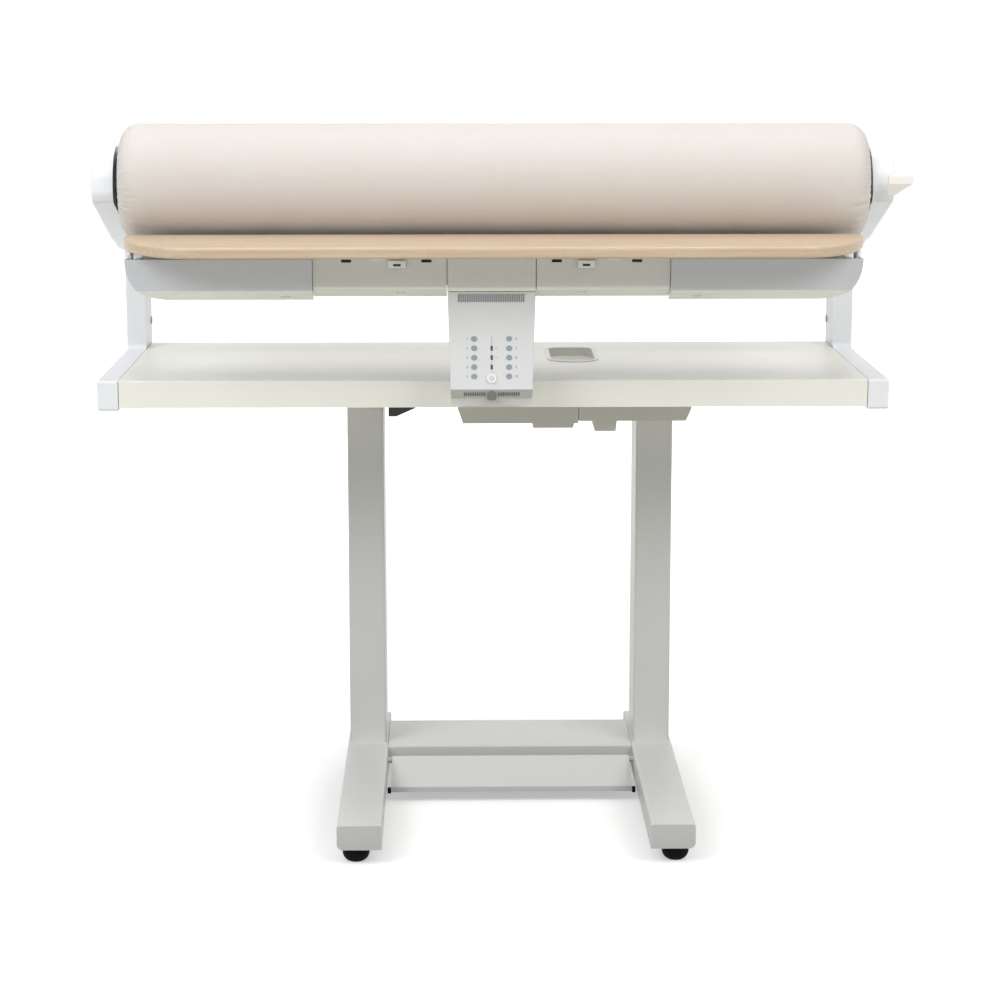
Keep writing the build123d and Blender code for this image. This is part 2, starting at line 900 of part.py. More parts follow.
with BuildPart() as arm_cap:
    with BuildSketch(across(frame_outer - frame_wall)):
        outline(arm_points, arm_rounds)
        offset(amount=-frame_wall - slip_fit, kind=Kind.INTERSECTION, mode=Mode.REPLACE)
        with Locations((lever_pivot_y, lever_pivot_z)):
            Circle(lever_shaft_radius + running_fit, mode=Mode.SUBTRACT)
    extrude(amount=frame_wall)
write(arm_cap, "arm_cap")

# ---------------------------------------------------------------- chassis


def build_tube(name, half_length, front, depth, bottom, top, wall):
    """Rectangular tube along x."""
    with BuildPart() as tube:
        with BuildSketch(across(-half_length)):
            with Locations((front + depth / 2, (bottom + top) / 2)):
                Rectangle(depth, top - bottom)
                Rectangle(depth - 2 * wall, top - bottom - 2 * wall, mode=Mode.SUBTRACT)
        extrude(amount=2 * half_length)
        if name == "front_beam":
            with BuildSketch(Plane.XY.offset(bottom)):
                with Locations(*[(x, cover_screw_y) for x in screw_bosses_left + screw_bosses_right]):
                    Circle(screw_hole_radius)
            extrude(amount=wall, mode=Mode.SUBTRACT)
    write(tube, name)


build_tube("front_beam", rail_inner, beam_front, beam_depth, beam_bottom, beam_top, beam_wall)
build_tube(
    "rear_tube", frame_inner, rear_tube_front, rear_tube_depth, beam_bottom, beam_top, beam_wall
)

with BuildPart() as side_rails:
    for rail_start in (-rail_outer, rail_inner):
        with BuildSketch(across(rail_start)):
            with Locations(((beam_front + rear_tube_front) / 2, (rail_bottom + beam_top) / 2)):
                Rectangle(rear_tube_front - beam_front, beam_top - rail_bottom)
        extrude(amount=rail_thickness)
write(side_rails, "side_rails")

# ---------------------------------------------------------------- covers


def cover_profile(front, corner_z, low_z, inset, top):
    """Section of a cover: upright front, underside rising to the front."""
    slope = (corner_z - low_z) / (housing_back - front)
    lift = inset * (1 + slope * slope) ** 0.5
    outline(
        [
            (front + inset, top),
            (front + inset, corner_z + lift - slope * inset),
            (housing_back, low_z + lift),
            (housing_back, top),
        ],
        [0, max(cover_front_round - inset, cover_inner_round), 0, 0],
    )


def screw_bosses(positions):
    """Bosses inside a cover, up to the beam's underside."""
    with BuildSketch(Plane.XY.offset(end_cover_low_z)) as bosses:
        with Locations(*[(x, cover_screw_y) for x in positions]):
            Circle(screw_boss_radius)
    extrude(bosses.sketch, amount=beam_bottom - end_cover_low_z, mode=Mode.SUBTRACT)


def beam_passage(start, end, top):
    """Clears the end walls of a cover for the beam that runs through it."""
    with BuildSketch(across(start)) as passage:
        with Locations((beam_front - seat_gap, beam_bottom)):
            Rectangle(beam_depth + 2 * seat_gap, top - beam_bottom, align=(Align.MIN, Align.MIN))
    extrude(passage.sketch, amount=end - start, mode=Mode.SUBTRACT)


def screw_holes(positions):
    """Recess from below and hole through each boss."""
    with BuildSketch(Plane.XY.offset(end_cover_low_z)) as recesses:
        with Locations(*[(x, cover_screw_y) for x in positions]):
            Circle(screw_recess_radius)
    extrude(recesses.sketch, amount=screw_recess_top - end_cover_low_z, mode=Mode.SUBTRACT)
    with BuildSketch(Plane.XY.offset(screw_recess_top)) as holes:
        with Locations(*[(x, cover_screw_y) for x in positions]):
            Circle(screw_hole_radius)
    extrude(holes.sketch, amount=beam_bottom - screw_recess_top, mode=Mode.SUBTRACT)


def build_housing(name, left, right, side):
    """Middle housing between the neck and an end cover, with two dark slots."""
    screws = [housing_centre + side * cover_screw_offsets[0]]
    with BuildPart() as cavity:
        with BuildSketch(across(left + housing_wall)):
            cover_profile(housing_front, housing_corner_z, housing_low_z, housing_wall, housing_top)
        extrude(amount=right - left - 2 * housing_wall)
        screw_bosses(screws)
    with BuildPart() as housing:
        with BuildSketch(across(left)):
            cover_profile(housing_front, housing_corner_z, housing_low_z, 0.0, housing_top)
        extrude(amount=right - left)
        add(cavity.part, mode=Mode.SUBTRACT)
        beam_passage(left, right, housing_top)
        screw_holes(screws)
        with BuildSketch(facing(housing_front + housing_wall)):
            with Locations(*[(housing_centre + side * offset, slot_z) for offset in slot_offsets]):
                Rectangle(slot_width, slot_height)
        extrude(amount=housing_wall, mode=Mode.SUBTRACT)
    write(housing, name)


def end_outline(inner_x, outer_x, side, round_radius, base):
    """Front view of an end cover with its rounded lower outer corner."""
    outline(
        [
            (side * inner_x, end_cover_top),
            (side * outer_x, end_cover_top),
            (side * outer_x, base),
            (side * inner_x, base),
        ],
        [0, 0, round_radius, 0],
    )


def build_end_cover(name, side):
    """End cover: open at the top and back, its lower outer corner swept up."""
    inner_x = housing_half_width + side * housing_centre + cover_seam / 2
    screws = [housing_centre + side * cover_screw_offsets[1]]
    width = cover_row_half_width - inner_x
    with BuildPart() as cavity:
        with BuildSketch(across(side * (inner_x + housing_wall))):
            cover_profile(end_cover_front, end_cover_corner_z, end_cover_low_z, housing_wall, end_cover_top)
        extrude(amount=side * (width - 2 * housing_wall))
        with BuildSketch(facing(housing_back)):
            end_outline(
                inner_x, cover_row_half_width - housing_wall, side,
                end_cover_round - housing_wall, end_cover_round_base + housing_wall,
            )
        extrude(amount=housing_back - end_cover_front, mode=Mode.INTERSECT)
        screw_bosses(screws)
    with BuildPart() as cover:
        with BuildSketch(across(side * inner_x)):
            cover_profile(end_cover_front, end_cover_corner_z, end_cover_low_z, 0.0, end_cover_top)
        extrude(amount=side * width)
        with BuildSketch(facing(housing_back)):
            end_outline(inner_x, cover_row_half_width, side, end_cover_round, end_cover_round_base)
        extrude(amount=housing_back - end_cover_front, mode=Mode.INTERSECT)
        add(cavity.part, mode=Mode.SUBTRACT)
        beam_passage(side * inner_x, side * (cover_row_half_width - housing_wall), end_cover_top)
        screw_holes(screws)
    write(cover, name)


neck_left = housing_centre - neck_half_width
neck_right = housing_centre + neck_half_width
build_housing(
    "housing_left", housing_centre - housing_half_width + cover_seam / 2, neck_left - cover_seam, -1
)
build_housing(
    "housing_right", neck_right + cover_seam, housing_centre + housing_half_width - cover_seam / 2, 1
)
build_end_cover("end_cover_left", -1)
build_end_cover("end_cover_right", 1)

with BuildPart() as neck_cover:
    with BuildSketch(Plane.XY.offset(panel_top + cover_seam)):
        with Locations((housing_centre, (neck_front + neck_back) / 2)):
            Rectangle(2 * neck_half_width, neck_back - neck_front)
    extrude(amount=housing_top - panel_top - cover_seam)
    front_edges = neck_cover.edges().filter_by(Axis.Z).group_by(Axis.Y)[0]
    fillet(front_edges, radius=neck_round)
    with BuildSketch(Plane.XY.offset(panel_top + cover_seam)):
        with Locations((housing_centre, (neck_front + housing_wall + neck_back) / 2)):
            Rectangle(2 * (neck_half_width - housing_wall), neck_back - neck_front - housing_wall)
    extrude(amount=housing_top - panel_top - cover_seam - housing_wall, mode=Mode.SUBTRACT)
    beam_passage(neck_left, neck_right, beam_top + seat_gap)
write(neck_cover, "neck_cover")

with BuildPart() as board_clips:
    for side in (-1, 1):
        with BuildSketch(facing(housing_front)):
            with Locations((housing_centre + side * clip_offset, clip_z)):
                RectangleRounded(clip_width, clip_height, clip_round)
                Rectangle(clip_hole_width, clip_hole_height, mode=Mode.SUBTRACT)
        extrude(amount=clip_depth)
write(board_clips, "board_clips")

# ---------------------------------------------------------------- feed board

with BuildPart() as feed_board:
    slope_angle = radians(board_slope)
    board_plane = Plane(
        (0, board_back, board_top), x_dir=(1, 0, 0), z_dir=(0, -sin(slope_angle), cos(slope_angle))
    )
    board_run = board_depth / cos(slope_angle)
    board_corner_centre = board_half_width - board_corner_reach
    with BuildSketch(board_plane):
        with Locations((-board_corner_centre, -board_end_land), (board_corner_centre, -board_end_land)):
            Ellipse(board_corner_reach, board_run - board_end_land)
        with Locations((0, -board_run / 2)):
            Rectangle(2 * board_corner_centre, board_run)
        with Locations((0, -board_end_land)):
            Rectangle(2 * board_half_width, board_run, align=(Align.CENTER, Align.MIN), mode=Mode.SUBTRACT)
            Rectangle(2 * board_half_width, board_end_land, align=(Align.CENTER, Align.MIN))
    extrude(amount=-board_thickness)
    board_ends = feed_board.edges().filter_by(Axis((0, 0, 0), board_plane.z_dir)).group_by(Axis.Y)[-1]
    fillet(board_ends, radius=board_back_corner)
    fillet(feed_board.faces().sort_by(Axis.Z)[-1].edges(), radius=board_edge_round)
    fillet(feed_board.faces().sort_by(Axis.Z)[0].edges(), radius=board_edge_round)
write(feed_board, "feed_board")


def bracket_profile(bottom):
    """Upright with a tab that runs forward under the board."""
    outline(
        [
            (bracket_front, bottom),
            (bracket_back, bottom),
            (bracket_back, board_under(bracket_back)),
            (bracket_tip, board_under(bracket_tip)),
            (bracket_tip, board_under(bracket_tip) - bracket_tab),
            (bracket_front, board_under(bracket_front) - bracket_tab),
        ]
    )


with BuildPart() as board_brackets:
    for side in (-1, 1):
        with BuildSketch(across(side * bracket_offset - bracket_width / 2)):
            bracket_profile(beam_top)
        extrude(amount=bracket_width)
        with BuildSketch(across(side * rail_outer)):
            bracket_profile(end_bracket_bottom)
        extrude(amount=side * end_bracket_thickness)
write(board_brackets, "board_brackets")

# ---------------------------------------------------------------- screws

with BuildPart() as screws:
    for screw_x in screw_bosses_left + screw_bosses_right:
        with Locations((screw_x, cover_screw_y, screw_recess_top - screw_head_height)):
            Cylinder(screw_head_radius, screw_head_height, align=(Align.CENTER, Align.CENTER, Align.MIN))
        with Locations((screw_x, cover_screw_y, screw_recess_top)):
            Cylinder(
                screw_shank_radius, beam_bottom + beam_wall - screw_recess_top,
                align=(Align.CENTER, Align.CENTER, Align.MIN),
            )
    for side in (-1, 1):
        flange_face = side * (shelf_half - shelf_sheet)
        for depth in shelf_screw_depths:
            rod_x(
                screw_head_radius, flange_face - side * screw_head_height, flange_face,
                depth, shelf_screw_z,
            )
            rod_x(
                screw_shank_radius, flange_face, side * (frame_inner + frame_wall),
                depth, shelf_screw_z,
            )
        rod_x(
            screw_head_radius, side * (frame_inner - screw_head_height / 2), side * frame_inner,
            frame_back - post_screw_inset, post_screw_z,
        )
write(screws, "screws")

# ---------------------------------------------------------------- control box


def box_front_outline(inset, round_corners):
    """Front view of the control box: slightly narrower at the bottom."""
    outline(
        [
            (housing_centre - panel_top_half + inset, panel_top),
            (housing_centre + panel_top_half - inset, panel_top),
            (housing_centre + box_base_half - inset, box_base + inset),
            (housing_centre - box_base_half + inset, box_base + inset),
        ],
        [0, 0, round_corners, round_corners],
    )


box_depth = box_back - panel_front

with BuildPart() as box_cavity:
    with BuildSketch(across(housing_centre - panel_top_half)):
        outline(
            [
                (panel_back, panel_top - box_wall),
                (panel_back, panel_bottom + box_wall),
                (box_base_front + box_wall, box_slope_base + box_wall / 2),
                (box_base_front + box_wall, box_base + box_wall),
                (box_back - box_wall, box_base + box_wall),
                (box_back - box_wall, panel_top - box_wall),
            ]
        )
    extrude(amount=2 * panel_top_half)
    with BuildSketch(facing(box_back)):
        box_front_outline(box_wall, box_corner_round - box_wall)
    extrude(amount=box_depth, mode=Mode.INTERSECT)

with BuildPart() as control_box:
    with BuildSketch(across(housing_centre - panel_top_half)):
        outline(
            [
                (panel_back, panel_top),
                (panel_back, panel_bottom),
                (panel_front + box_slope_setback, panel_bottom),
                (box_base_front, box_slope_base),
                (box_base_front, box_base),
                (box_back, box_base),
                (box_back, panel_top),
            ]
        )
    extrude(amount=2 * panel_top_half)
    with BuildSketch(facing(box_back)):
        box_front_outline(0.0, box_corner_round)
    extrude(amount=box_depth, mode=Mode.INTERSECT)
    add(box_cavity.part, mode=Mode.SUBTRACT)
    with BuildSketch(Plane.XY.offset(panel_top - box_wall)):
        for side in (-1, 1):
            with Locations((housing_centre + side * box_mount_offset, (beam_front + beam_back) / 2)):
                Rectangle(box_mount_width, box_mount_width)
    extrude(amount=beam_bottom - panel_top + box_wall)
    with BuildSketch(facing(box_base_front + box_wall)):
        for side in (-1, 1):
            centres = [
                (
                    housing_centre + side * (low_vent_inner + vent_pitch * slot),
                    (panel_bottom + box_slope_base) / 2,
                )
                for slot in range(low_vent_count)
            ]
            with Locations(*centres):
                Rectangle(vent_width, low_vent_height)
    extrude(amount=box_depth, mode=Mode.SUBTRACT)
    with BuildSketch(facing(box_base_front)):
        with Locations((housing_centre, box_slope_base + latch_height / 2 + latch_lift)):
            Triangle(c=latch_width, a=latch_width, b=latch_width)
    extrude(amount=latch_length)
write(control_box, "control_box")

with BuildPart() as control_panel:
    with BuildSketch(facing(panel_back)):
        outline(
            [
                (housing_centre - panel_top_half, panel_top),
                (housing_centre + panel_top_half, panel_top),
                (housing_centre + panel_bottom_half, panel_bottom),
                (housing_centre - panel_bottom_half, panel_bottom),
            ]
        )
    extrude(amount=panel_thickness)
    front_face = control_panel.faces().sort_by(Axis.Y)[0]
    fillet(front_face.edges(), radius=panel_edge_round)
    with BuildSketch(facing(panel_back)):
        with Locations((housing_centre + vent_shift, vent_z)):
            with GridLocations(vent_pitch, vent_height, vent_count, 1):
                Rectangle(vent_width, vent_height)
        for column in button_columns:
            with Locations(*[(housing_centre + column, height) for height in button_row_heights]):
                Ellipse(button_width / 2 + button_fit, button_height / 2 + button_fit)
        with Locations(*[(housing_centre, height) for height in button_row_heights[1:4]]):
            Rectangle(lamp_width + 2 * slip_fit, lamp_height + 2 * slip_fit)
        with Locations((housing_centre, power_z)):
            Circle(power_radius + button_fit)
    extrude(amount=panel_thickness, mode=Mode.SUBTRACT)
    with BuildSketch(facing(circuit_front)):
        for side in (-1, 1):
            for height in (circuit_bottom + circuit_post_inset, circuit_top - circuit_post_inset):
                with Locations((housing_centre + side * (circuit_half_width - circuit_post_inset), height)):
                    Circle(circuit_post_radius)
    extrude(amount=circuit_gap)
write(control_panel, "control_panel")

with BuildPart() as circuit_board:
    with BuildSketch(facing(circuit_front + circuit_thickness)):
        with Locations((housing_centre, (circuit_bottom + circuit_top) / 2)):
            Rectangle(2 * circuit_half_width, circuit_top - circuit_bottom)
    extrude(amount=circuit_thickness)
write(circuit_board, "circuit_board")

with BuildPart() as indicator_lenses:
    with BuildSketch(facing(panel_back)):
        with Locations(*[(housing_centre, height) for height in button_row_heights[1:4]]):
            Rectangle(lamp_width, lamp_height)
    extrude(amount=panel_thickness + lamp_proud)
write(indicator_lenses, "indicator_lenses")

flange_front = panel_back + seat_gap
flange_back = flange_front + button_flange_thickness
stem_end = circuit_front - button_travel - seat_gap


def build_button(name, x, z):
    """Oval key cap with a flange behind the panel and a stem towards its switch."""
    with BuildPart() as button:
        with BuildSketch(facing(flange_front)):
            with Locations((x, z)):
                Ellipse(button_width / 2, button_height / 2)
        extrude(amount=flange_front - panel_front + button_proud)
        cap_face = button.faces().sort_by(Axis.Y)[0]
        fillet(cap_face.edges(), radius=button_round)
        with BuildSketch(facing(flange_back)):
            with Locations((x, z)):
                Ellipse(button_width / 2 + button_flange, button_height / 2 + button_flange)
        extrude(amount=button_flange_thickness)
        with BuildSketch(facing(stem_end)):
            with Locations((x, z)):
                Circle(button_stem_radius)
        extrude(amount=stem_end - flange_back)
    write(button, name)


button_number = 0
for column in button_columns:
    for height in button_row_heights:
        button_number += 1
        build_button(f"button_{button_number}", housing_centre + column, height)

with BuildPart() as power_button:
    with BuildSketch(facing(flange_front)):
        with Locations((housing_centre, power_z)):
            Circle(power_radius)
    extrude(amount=flange_front - panel_front + power_proud)
    power_face = power_button.faces().sort_by(Axis.Y)[0]
    fillet(power_face.edges(), radius=power_round)
    with BuildSketch(facing(flange_back)):
        with Locations((housing_centre, power_z)):
            Circle(power_radius + button_flange)
    extrude(amount=button_flange_thickness)
    with BuildSketch(facing(stem_end)):
        with Locations((housing_centre, power_z)):
            Circle(button_stem_radius)
    extrude(amount=stem_end - flange_back)
write(power_button, "power_button")

# ---------------------------------------------------------------- boxes under the shelf

under_box_top = shelf_underside
boiler_outline_points = [
    (boiler_box_left, under_box_top),
    (boiler_box_left, box_taper_z),
    (boiler_box_left_low, boiler_box_bottom),
    (boiler_step_left, boiler_box_bottom),
    (boiler_step_left + box_step_slant, boiler_box_step),
    (boiler_step_right - box_step_slant, boiler_box_step),
    (boiler_step_right, boiler_box_bottom),
    (box_seam_x - box_seam / 2, boiler_box_bottom),
    (box_seam_x - box_seam / 2, under_box_top),
]
tank_outline_points = [
    (box_seam_x + box_seam / 2, under_box_top),
    (box_seam_x + box_seam / 2, tank_box_bottom),
    (tank_step_left, tank_box_bottom),
    (tank_step_left + box_step_slant, tank_box_step),
    (tank_step_right - box_step_slant, tank_box_step),
    (tank_step_right, tank_box_bottom),
    (tank_box_right_low, tank_box_bottom),
    (tank_box_right, box_taper_z),
    (tank_box_right, under_box_top),
]


def build_under_box(name, points, back):
    """Box under the shelf, open at the top where the well dips into it."""
    with BuildPart() as box:
        with BuildSketch(facing(back)):
            outline(points)
        extrude(amount=back - under_box_front)
        with BuildSketch(facing(back - under_box_wall)):
            outline(points)
            offset(amount=-under_box_wall, kind=Kind.INTERSECTION, mode=Mode.REPLACE)
        extrude(amount=back - under_box_front - 2 * under_box_wall, mode=Mode.SUBTRACT)
        inner_left = points[0][0] + under_box_wall
        inner_right = points[-1][0] - under_box_wall
        with BuildSketch(Plane.XY.offset(under_box_top - under_box_wall)):
            with Locations(((inner_left + inner_right) / 2, (under_box_front + back) / 2)):
                Rectangle(inner_right - inner_left, back - under_box_front - 2 * under_box_wall)
        extrude(amount=under_box_wall, mode=Mode.SUBTRACT)
        with BuildSketch(Plane.XY.offset(well_floor - well_wall - seat_gap)):
            well_outline(well_rim - seat_gap)
        extrude(amount=well_depth + well_wall + seat_gap, mode=Mode.SUBTRACT)
    write(box, name)


build_under_box("boiler_housing", boiler_outline_points, boiler_box_back)
build_under_box("tank_housing", tank_outline_points, tank_box_back)

with BuildPart() as steam_boiler:
    with BuildSketch(Plane.XY.offset(boiler_box_bottom + under_box_wall)):
        with Locations((boiler_x, boiler_front + boiler_depth / 2)):
            RectangleRounded(boiler_width, boiler_depth, boiler_round)
    extrude(amount=boiler_height)
    with Locations(
        (
            boiler_x,
            boiler_front + boiler_nipple_inset,
            boiler_box_bottom + under_box_wall + boiler_height,
        )
    ):
        Cylinder(
            nipple_radius, boiler_nipple_length, align=(Align.CENTER, Align.CENTER, Align.MIN)
        )
write(steam_boiler, "steam_boiler")

with BuildPart() as pump:
    with BuildSketch(Plane.XY.offset(boiler_box_step + under_box_wall)):
        with Locations(((boiler_step_left + boiler_step_right) / 2, pump_front + pump_depth / 2)):
            RectangleRounded(pump_width, pump_depth, pump_round)
    extrude(amount=pump_height)
    with Locations(
        (
            (boiler_step_left + boiler_step_right) / 2,
            pump_front + pump_depth / 2,
            boiler_box_step + under_box_wall + pump_height,
        )
    ):
        Cylinder(nipple_radius, pump_nipple_length, align=(Align.CENTER, Align.CENTER, Align.MIN))
write(pump, "pump")

tank_left = box_seam_x + box_seam / 2 + under_box_wall + tank_clearance
tank_right = tank_box_right_low - under_box_wall - tank_clearance
tank_front = under_box_front + under_box_wall + tank_clearance
tank_back = tank_box_back - under_box_wall - tank_clearance
tank_bottom = tank_box_bottom + under_box_wall
tank_top = well_floor - well_wall - seat_gap

with BuildPart() as water_tank:
    with BuildSketch(Plane.XY.offset(tank_bottom)):
        with Locations(((tank_left + tank_right) / 2, (tank_front + tank_back) / 2)):
            RectangleRounded(tank_right - tank_left, tank_back - tank_front, tank_round)
    extrude(amount=tank_top - tank_bottom)
    with BuildSketch(Plane.XY.offset(tank_bottom + tank_wall)):
        with Locations(((tank_left + tank_right) / 2, (tank_front + tank_back) / 2)):
            RectangleRounded(
                tank_right - tank_left - 2 * tank_wall,
                tank_back - tank_front - 2 * tank_wall,
                tank_round - tank_wall,
            )
    extrude(amount=tank_top - tank_bottom - 2 * tank_wall, mode=Mode.SUBTRACT)
    with Locations((port_x + tank_port_shift, port_y, tank_top - tank_wall)):
        Cylinder(
            port_radius, tank_wall, align=(Align.CENTER, Align.CENTER, Align.MIN), mode=Mode.SUBTRACT
        )
write(water_tank, "water_tank")

with BuildPart() as cable_gland:
    with BuildSketch(facing(gland_front + gland_depth)):
        outline(
            [
                (gland_left, gland_bottom),
                (gland_left, shelf_underside),
                (gland_right, shelf_underside),
                (gland_right, gland_bottom + gland_slant_height),
                (gland_right - gland_slant_width, gland_bottom),
            ]
        )
        with Locations((gland_left + gland_bore_inset, gland_bottom + gland_bore_rise)):
            Circle(gland_bore_radius, mode=Mode.SUBTRACT)
    extrude(amount=gland_depth)
write(cable_gland, "cable_gland")

# ---------------------------------------------------------------- roller

with BuildPart() as roller_tube:
    with BuildSketch(across(-half_tube)):
        with Locations((0, roller_height)):
            Circle(tube_radius)
            Circle(tube_inner, mode=Mode.SUBTRACT)
    extrude(amount=2 * half_tube)
write(roller_tube, "roller_tube")

with BuildPart() as roller_cover:
    lap_start = half_tube + seat_gap
    shoulder = half_cover - cover_end_round
    end_radius = cover_radius - cover_end_round
    diagonal = cover_end_round / 2**0.5
    cover_bore = tube_radius + slip_fit
    with BuildSketch(Plane.XZ):
        with BuildLine():
            for side in (-1, 1):
                ThreePointArc(
                    (side * shoulder, roller_height + cover_radius),
                    (side * (shoulder + diagonal), roller_height + end_radius + diagonal),
                    (side * half_cover, roller_height + end_radius),
                )
                Polyline(
                    (side * half_cover, roller_height + end_radius),
                    (side * half_cover, roller_height + cover_mouth_radius),
                    (side * lap_start, roller_height + cover_mouth_radius),
                    (side * lap_start, roller_height + cover_bore),
                )
            Line((-shoulder, roller_height + cover_radius), (shoulder, roller_height + cover_radius))
            Line((-lap_start, roller_height + cover_bore), (lap_start, roller_height + cover_bore))
        make_face()
    revolve(axis=Axis((0, 0, roller_height), (1, 0, 0)))
write(roller_cover, "roller_cover")

with BuildPart() as roller_ends:
    disc_outer = half_tube - end_disc_inset
    disc_inner = disc_outer - end_disc_thickness
    hub_inner = disc_outer - end_hub_length
    for side, bore in ((-1, stub_radius), (1, motor_sleeve_radius)):
        rod_x(tube_inner - slip_fit / 2, side * disc_inner, side * disc_outer, 0, roller_height)
        rod_x(bore + end_hub_wall, side * hub_inner, side * disc_outer, 0, roller_height)
        rod_x(bore + running_fit, side * hub_inner, side * disc_outer, 0, roller_height, Mode.SUBTRACT)
write(roller_ends, "roller_ends")

mesh_direction = -90.0
tooth_height = addendum + dedendum + tooth_overlap
pitch_tooth = gear_module * pi / 2 - gear_backlash
root_tooth = pitch_tooth + 2 * (dedendum + tooth_overlap) * tan(radians(tooth_angle))
ring_pitch_radius = gear_module * ring_teeth / 2
pinion_pitch_radius = gear_module * pinion_teeth / 2
gear_far = gearbox_face - gear_face_gap
ring_centre = (0, roller_height)
pinion_centre = (0, roller_height - pinion_offset)

with BuildPart() as ring_gear:
    with BuildSketch(across(gear_far - gear_width)):
        with Locations(ring_centre):
            Circle(tube_inner - slip_fit / 2)
            Circle(ring_pitch_radius + dedendum, mode=Mode.SUBTRACT)
            tooth_place = ring_pitch_radius + dedendum + tooth_overlap - tooth_height / 2
            with PolarLocations(tooth_place, ring_teeth, start_angle=mesh_direction + 180 / ring_teeth):
                Trapezoid(root_tooth, tooth_height, 90 - tooth_angle, rotation=90)
    extrude(amount=gear_width)
write(ring_gear, "ring_gear")

with BuildPart() as drive_pinion:
    with BuildSketch(across(gear_far - gear_width + pinion_narrower / 2)):
        with Locations(pinion_centre):
            Circle(pinion_pitch_radius - dedendum)
            tooth_place = pinion_pitch_radius - dedendum - tooth_overlap + tooth_height / 2
            with PolarLocations(tooth_place, pinion_teeth, start_angle=mesh_direction):
                Trapezoid(root_tooth, tooth_height, 90 - tooth_angle, rotation=-90)
    extrude(amount=gear_width - pinion_narrower)
    rod_x(
        pinion_shaft_radius, gear_far - gear_width, gearbox_face + pinion_shaft_length - pinion_end_gap,
        pinion_centre[0], pinion_centre[1],
    )
write(drive_pinion, "drive_pinion")

with BuildPart() as gearmotor:
    flange_inner = frame_inner - motor_flange_thickness
    rod_x(motor_flange_radius, flange_inner, frame_inner, 0, roller_height)
    rod_x(motor_sleeve_radius, gearbox_face, flange_inner, 0, roller_height)
    rod_x(gearbox_radius, gearbox_face, gearbox_face + gearbox_thickness, 0, roller_height)
    rod_x(motor_radius, gearbox_face - motor_length, gearbox_face, 0, roller_height)
    rod_x(
        pinion_shaft_radius + running_fit, gearbox_face, gearbox_face + pinion_shaft_length,
        pinion_centre[0], pinion_centre[1], Mode.SUBTRACT,
    )
write(gearmotor, "gearmotor")

# ---------------------------------------------------------------- heated shoe

heater_line_radius = shoe_outer_radius + heater_rail_height + seat_gap + heater_radius

with BuildPart() as shoe_plate:
    with BuildSketch(across(-shoe_half_length)):
        sector(shoe_inner_radius, shoe_outer_radius, shoe_front_angle, shoe_back_angle)
    extrude(amount=2 * shoe_half_length)
    heater_rail_half = heater_half_length - heater_bend - heater_radius
    with BuildSketch(across(-heater_rail_half)):
        for middle in (-heater_angle, heater_angle):
            sector(
                shoe_outer_radius - rail_root, shoe_outer_radius + heater_rail_height,
                middle - rail_half_angle, middle + rail_half_angle,
            )
    extrude(amount=2 * heater_rail_half)
write(opened(shoe_plate), "shoe_plate")

with BuildPart() as heating_element:
    near = on_roller(heater_line_radius, -heater_angle)
    far = on_roller(heater_line_radius, heater_angle)
    with BuildLine() as heater_path:
        FilletPolyline(
            (-heater_half_length, near[0], near[1]),
            (heater_half_length, near[0], near[1]),
            (heater_half_length, far[0], far[1]),
            (-heater_half_length, far[0], far[1]),
            radius=heater_bend,
        )
    with BuildSketch(heater_path.line ^ 0):
        Circle(heater_radius)
    sweep()
write(opened(heating_element), "heating_element")

with BuildPart() as shoe_cover:
    front_inner_angle = shoe_cover_front_angle + shoe_cover_wall_angle
    back_inner_angle = shoe_cover_back_angle - shoe_cover_wall_angle
    with BuildSketch(across(-shoe_cover_half_length)):
        sector(shoe_fit_radius, shoe_cover_radius, shoe_cover_front_angle, shoe_cover_back_angle)
    extrude(amount=2 * shoe_cover_half_length)
    with BuildSketch(across(shoe_cover_wall - shoe_cover_half_length)):
        sector(
            shoe_fit_radius - shoe_cover_mouth, shoe_cover_radius - shoe_cover_wall,
            front_inner_angle, back_inner_angle,
        )
    extrude(amount=2 * (shoe_cover_half_length - shoe_cover_wall), mode=Mode.SUBTRACT)
write(opened(shoe_cover), "shoe_cover")

with BuildPart() as shoe_frame:
    shaft_tip = frame_outer - frame_wall - shoe_shaft_tip_gap
    for side in (-1, 1):
        with BuildSketch(across(side * shoe_arm_inner)):
            outline(
                [
                    on_roller(shoe_fit_radius, shoe_arm_front_angle),
                    on_roller(shoe_fit_radius, (shoe_arm_front_angle + shoe_arm_back_angle) / 2),
                    on_roller(shoe_fit_radius, shoe_arm_back_angle),
                    (shoe_pivot_y - shoe_hub_lean, shoe_pivot_z + shoe_hub_radius - shoe_hub_flat),
                    (shoe_pivot_y + shoe_hub_lean, shoe_pivot_z - shoe_hub_radius + shoe_hub_flat),
                    on_roller(shoe_arm_low_radius, shoe_arm_front_angle),
                ]
            )
            with Locations((shoe_pivot_y, shoe_pivot_z)):
                Circle(shoe_hub_radius)
        extrude(amount=side * shoe_arm_thickness)
    rod_x(shoe_shaft_radius, -shaft_tip, shaft_tip, shoe_pivot_y, shoe_pivot_z)
    with BuildSketch(across(cam_left + (cam_thickness - follower_thickness) / 2)):
        with Locations(((follower_tip_y + shoe_pivot_y) / 2, follower_under + follower_height / 2)):
            Rectangle(shoe_pivot_y - follower_tip_y, follower_height)
        with Locations((shoe_pivot_y, shoe_pivot_z)):
            Circle(shoe_hub_radius + follower_hub_wall)
    extrude(amount=follower_thickness)
write(opened(shoe_frame), "shoe_frame")

# ---------------------------------------------------------------- hand lever

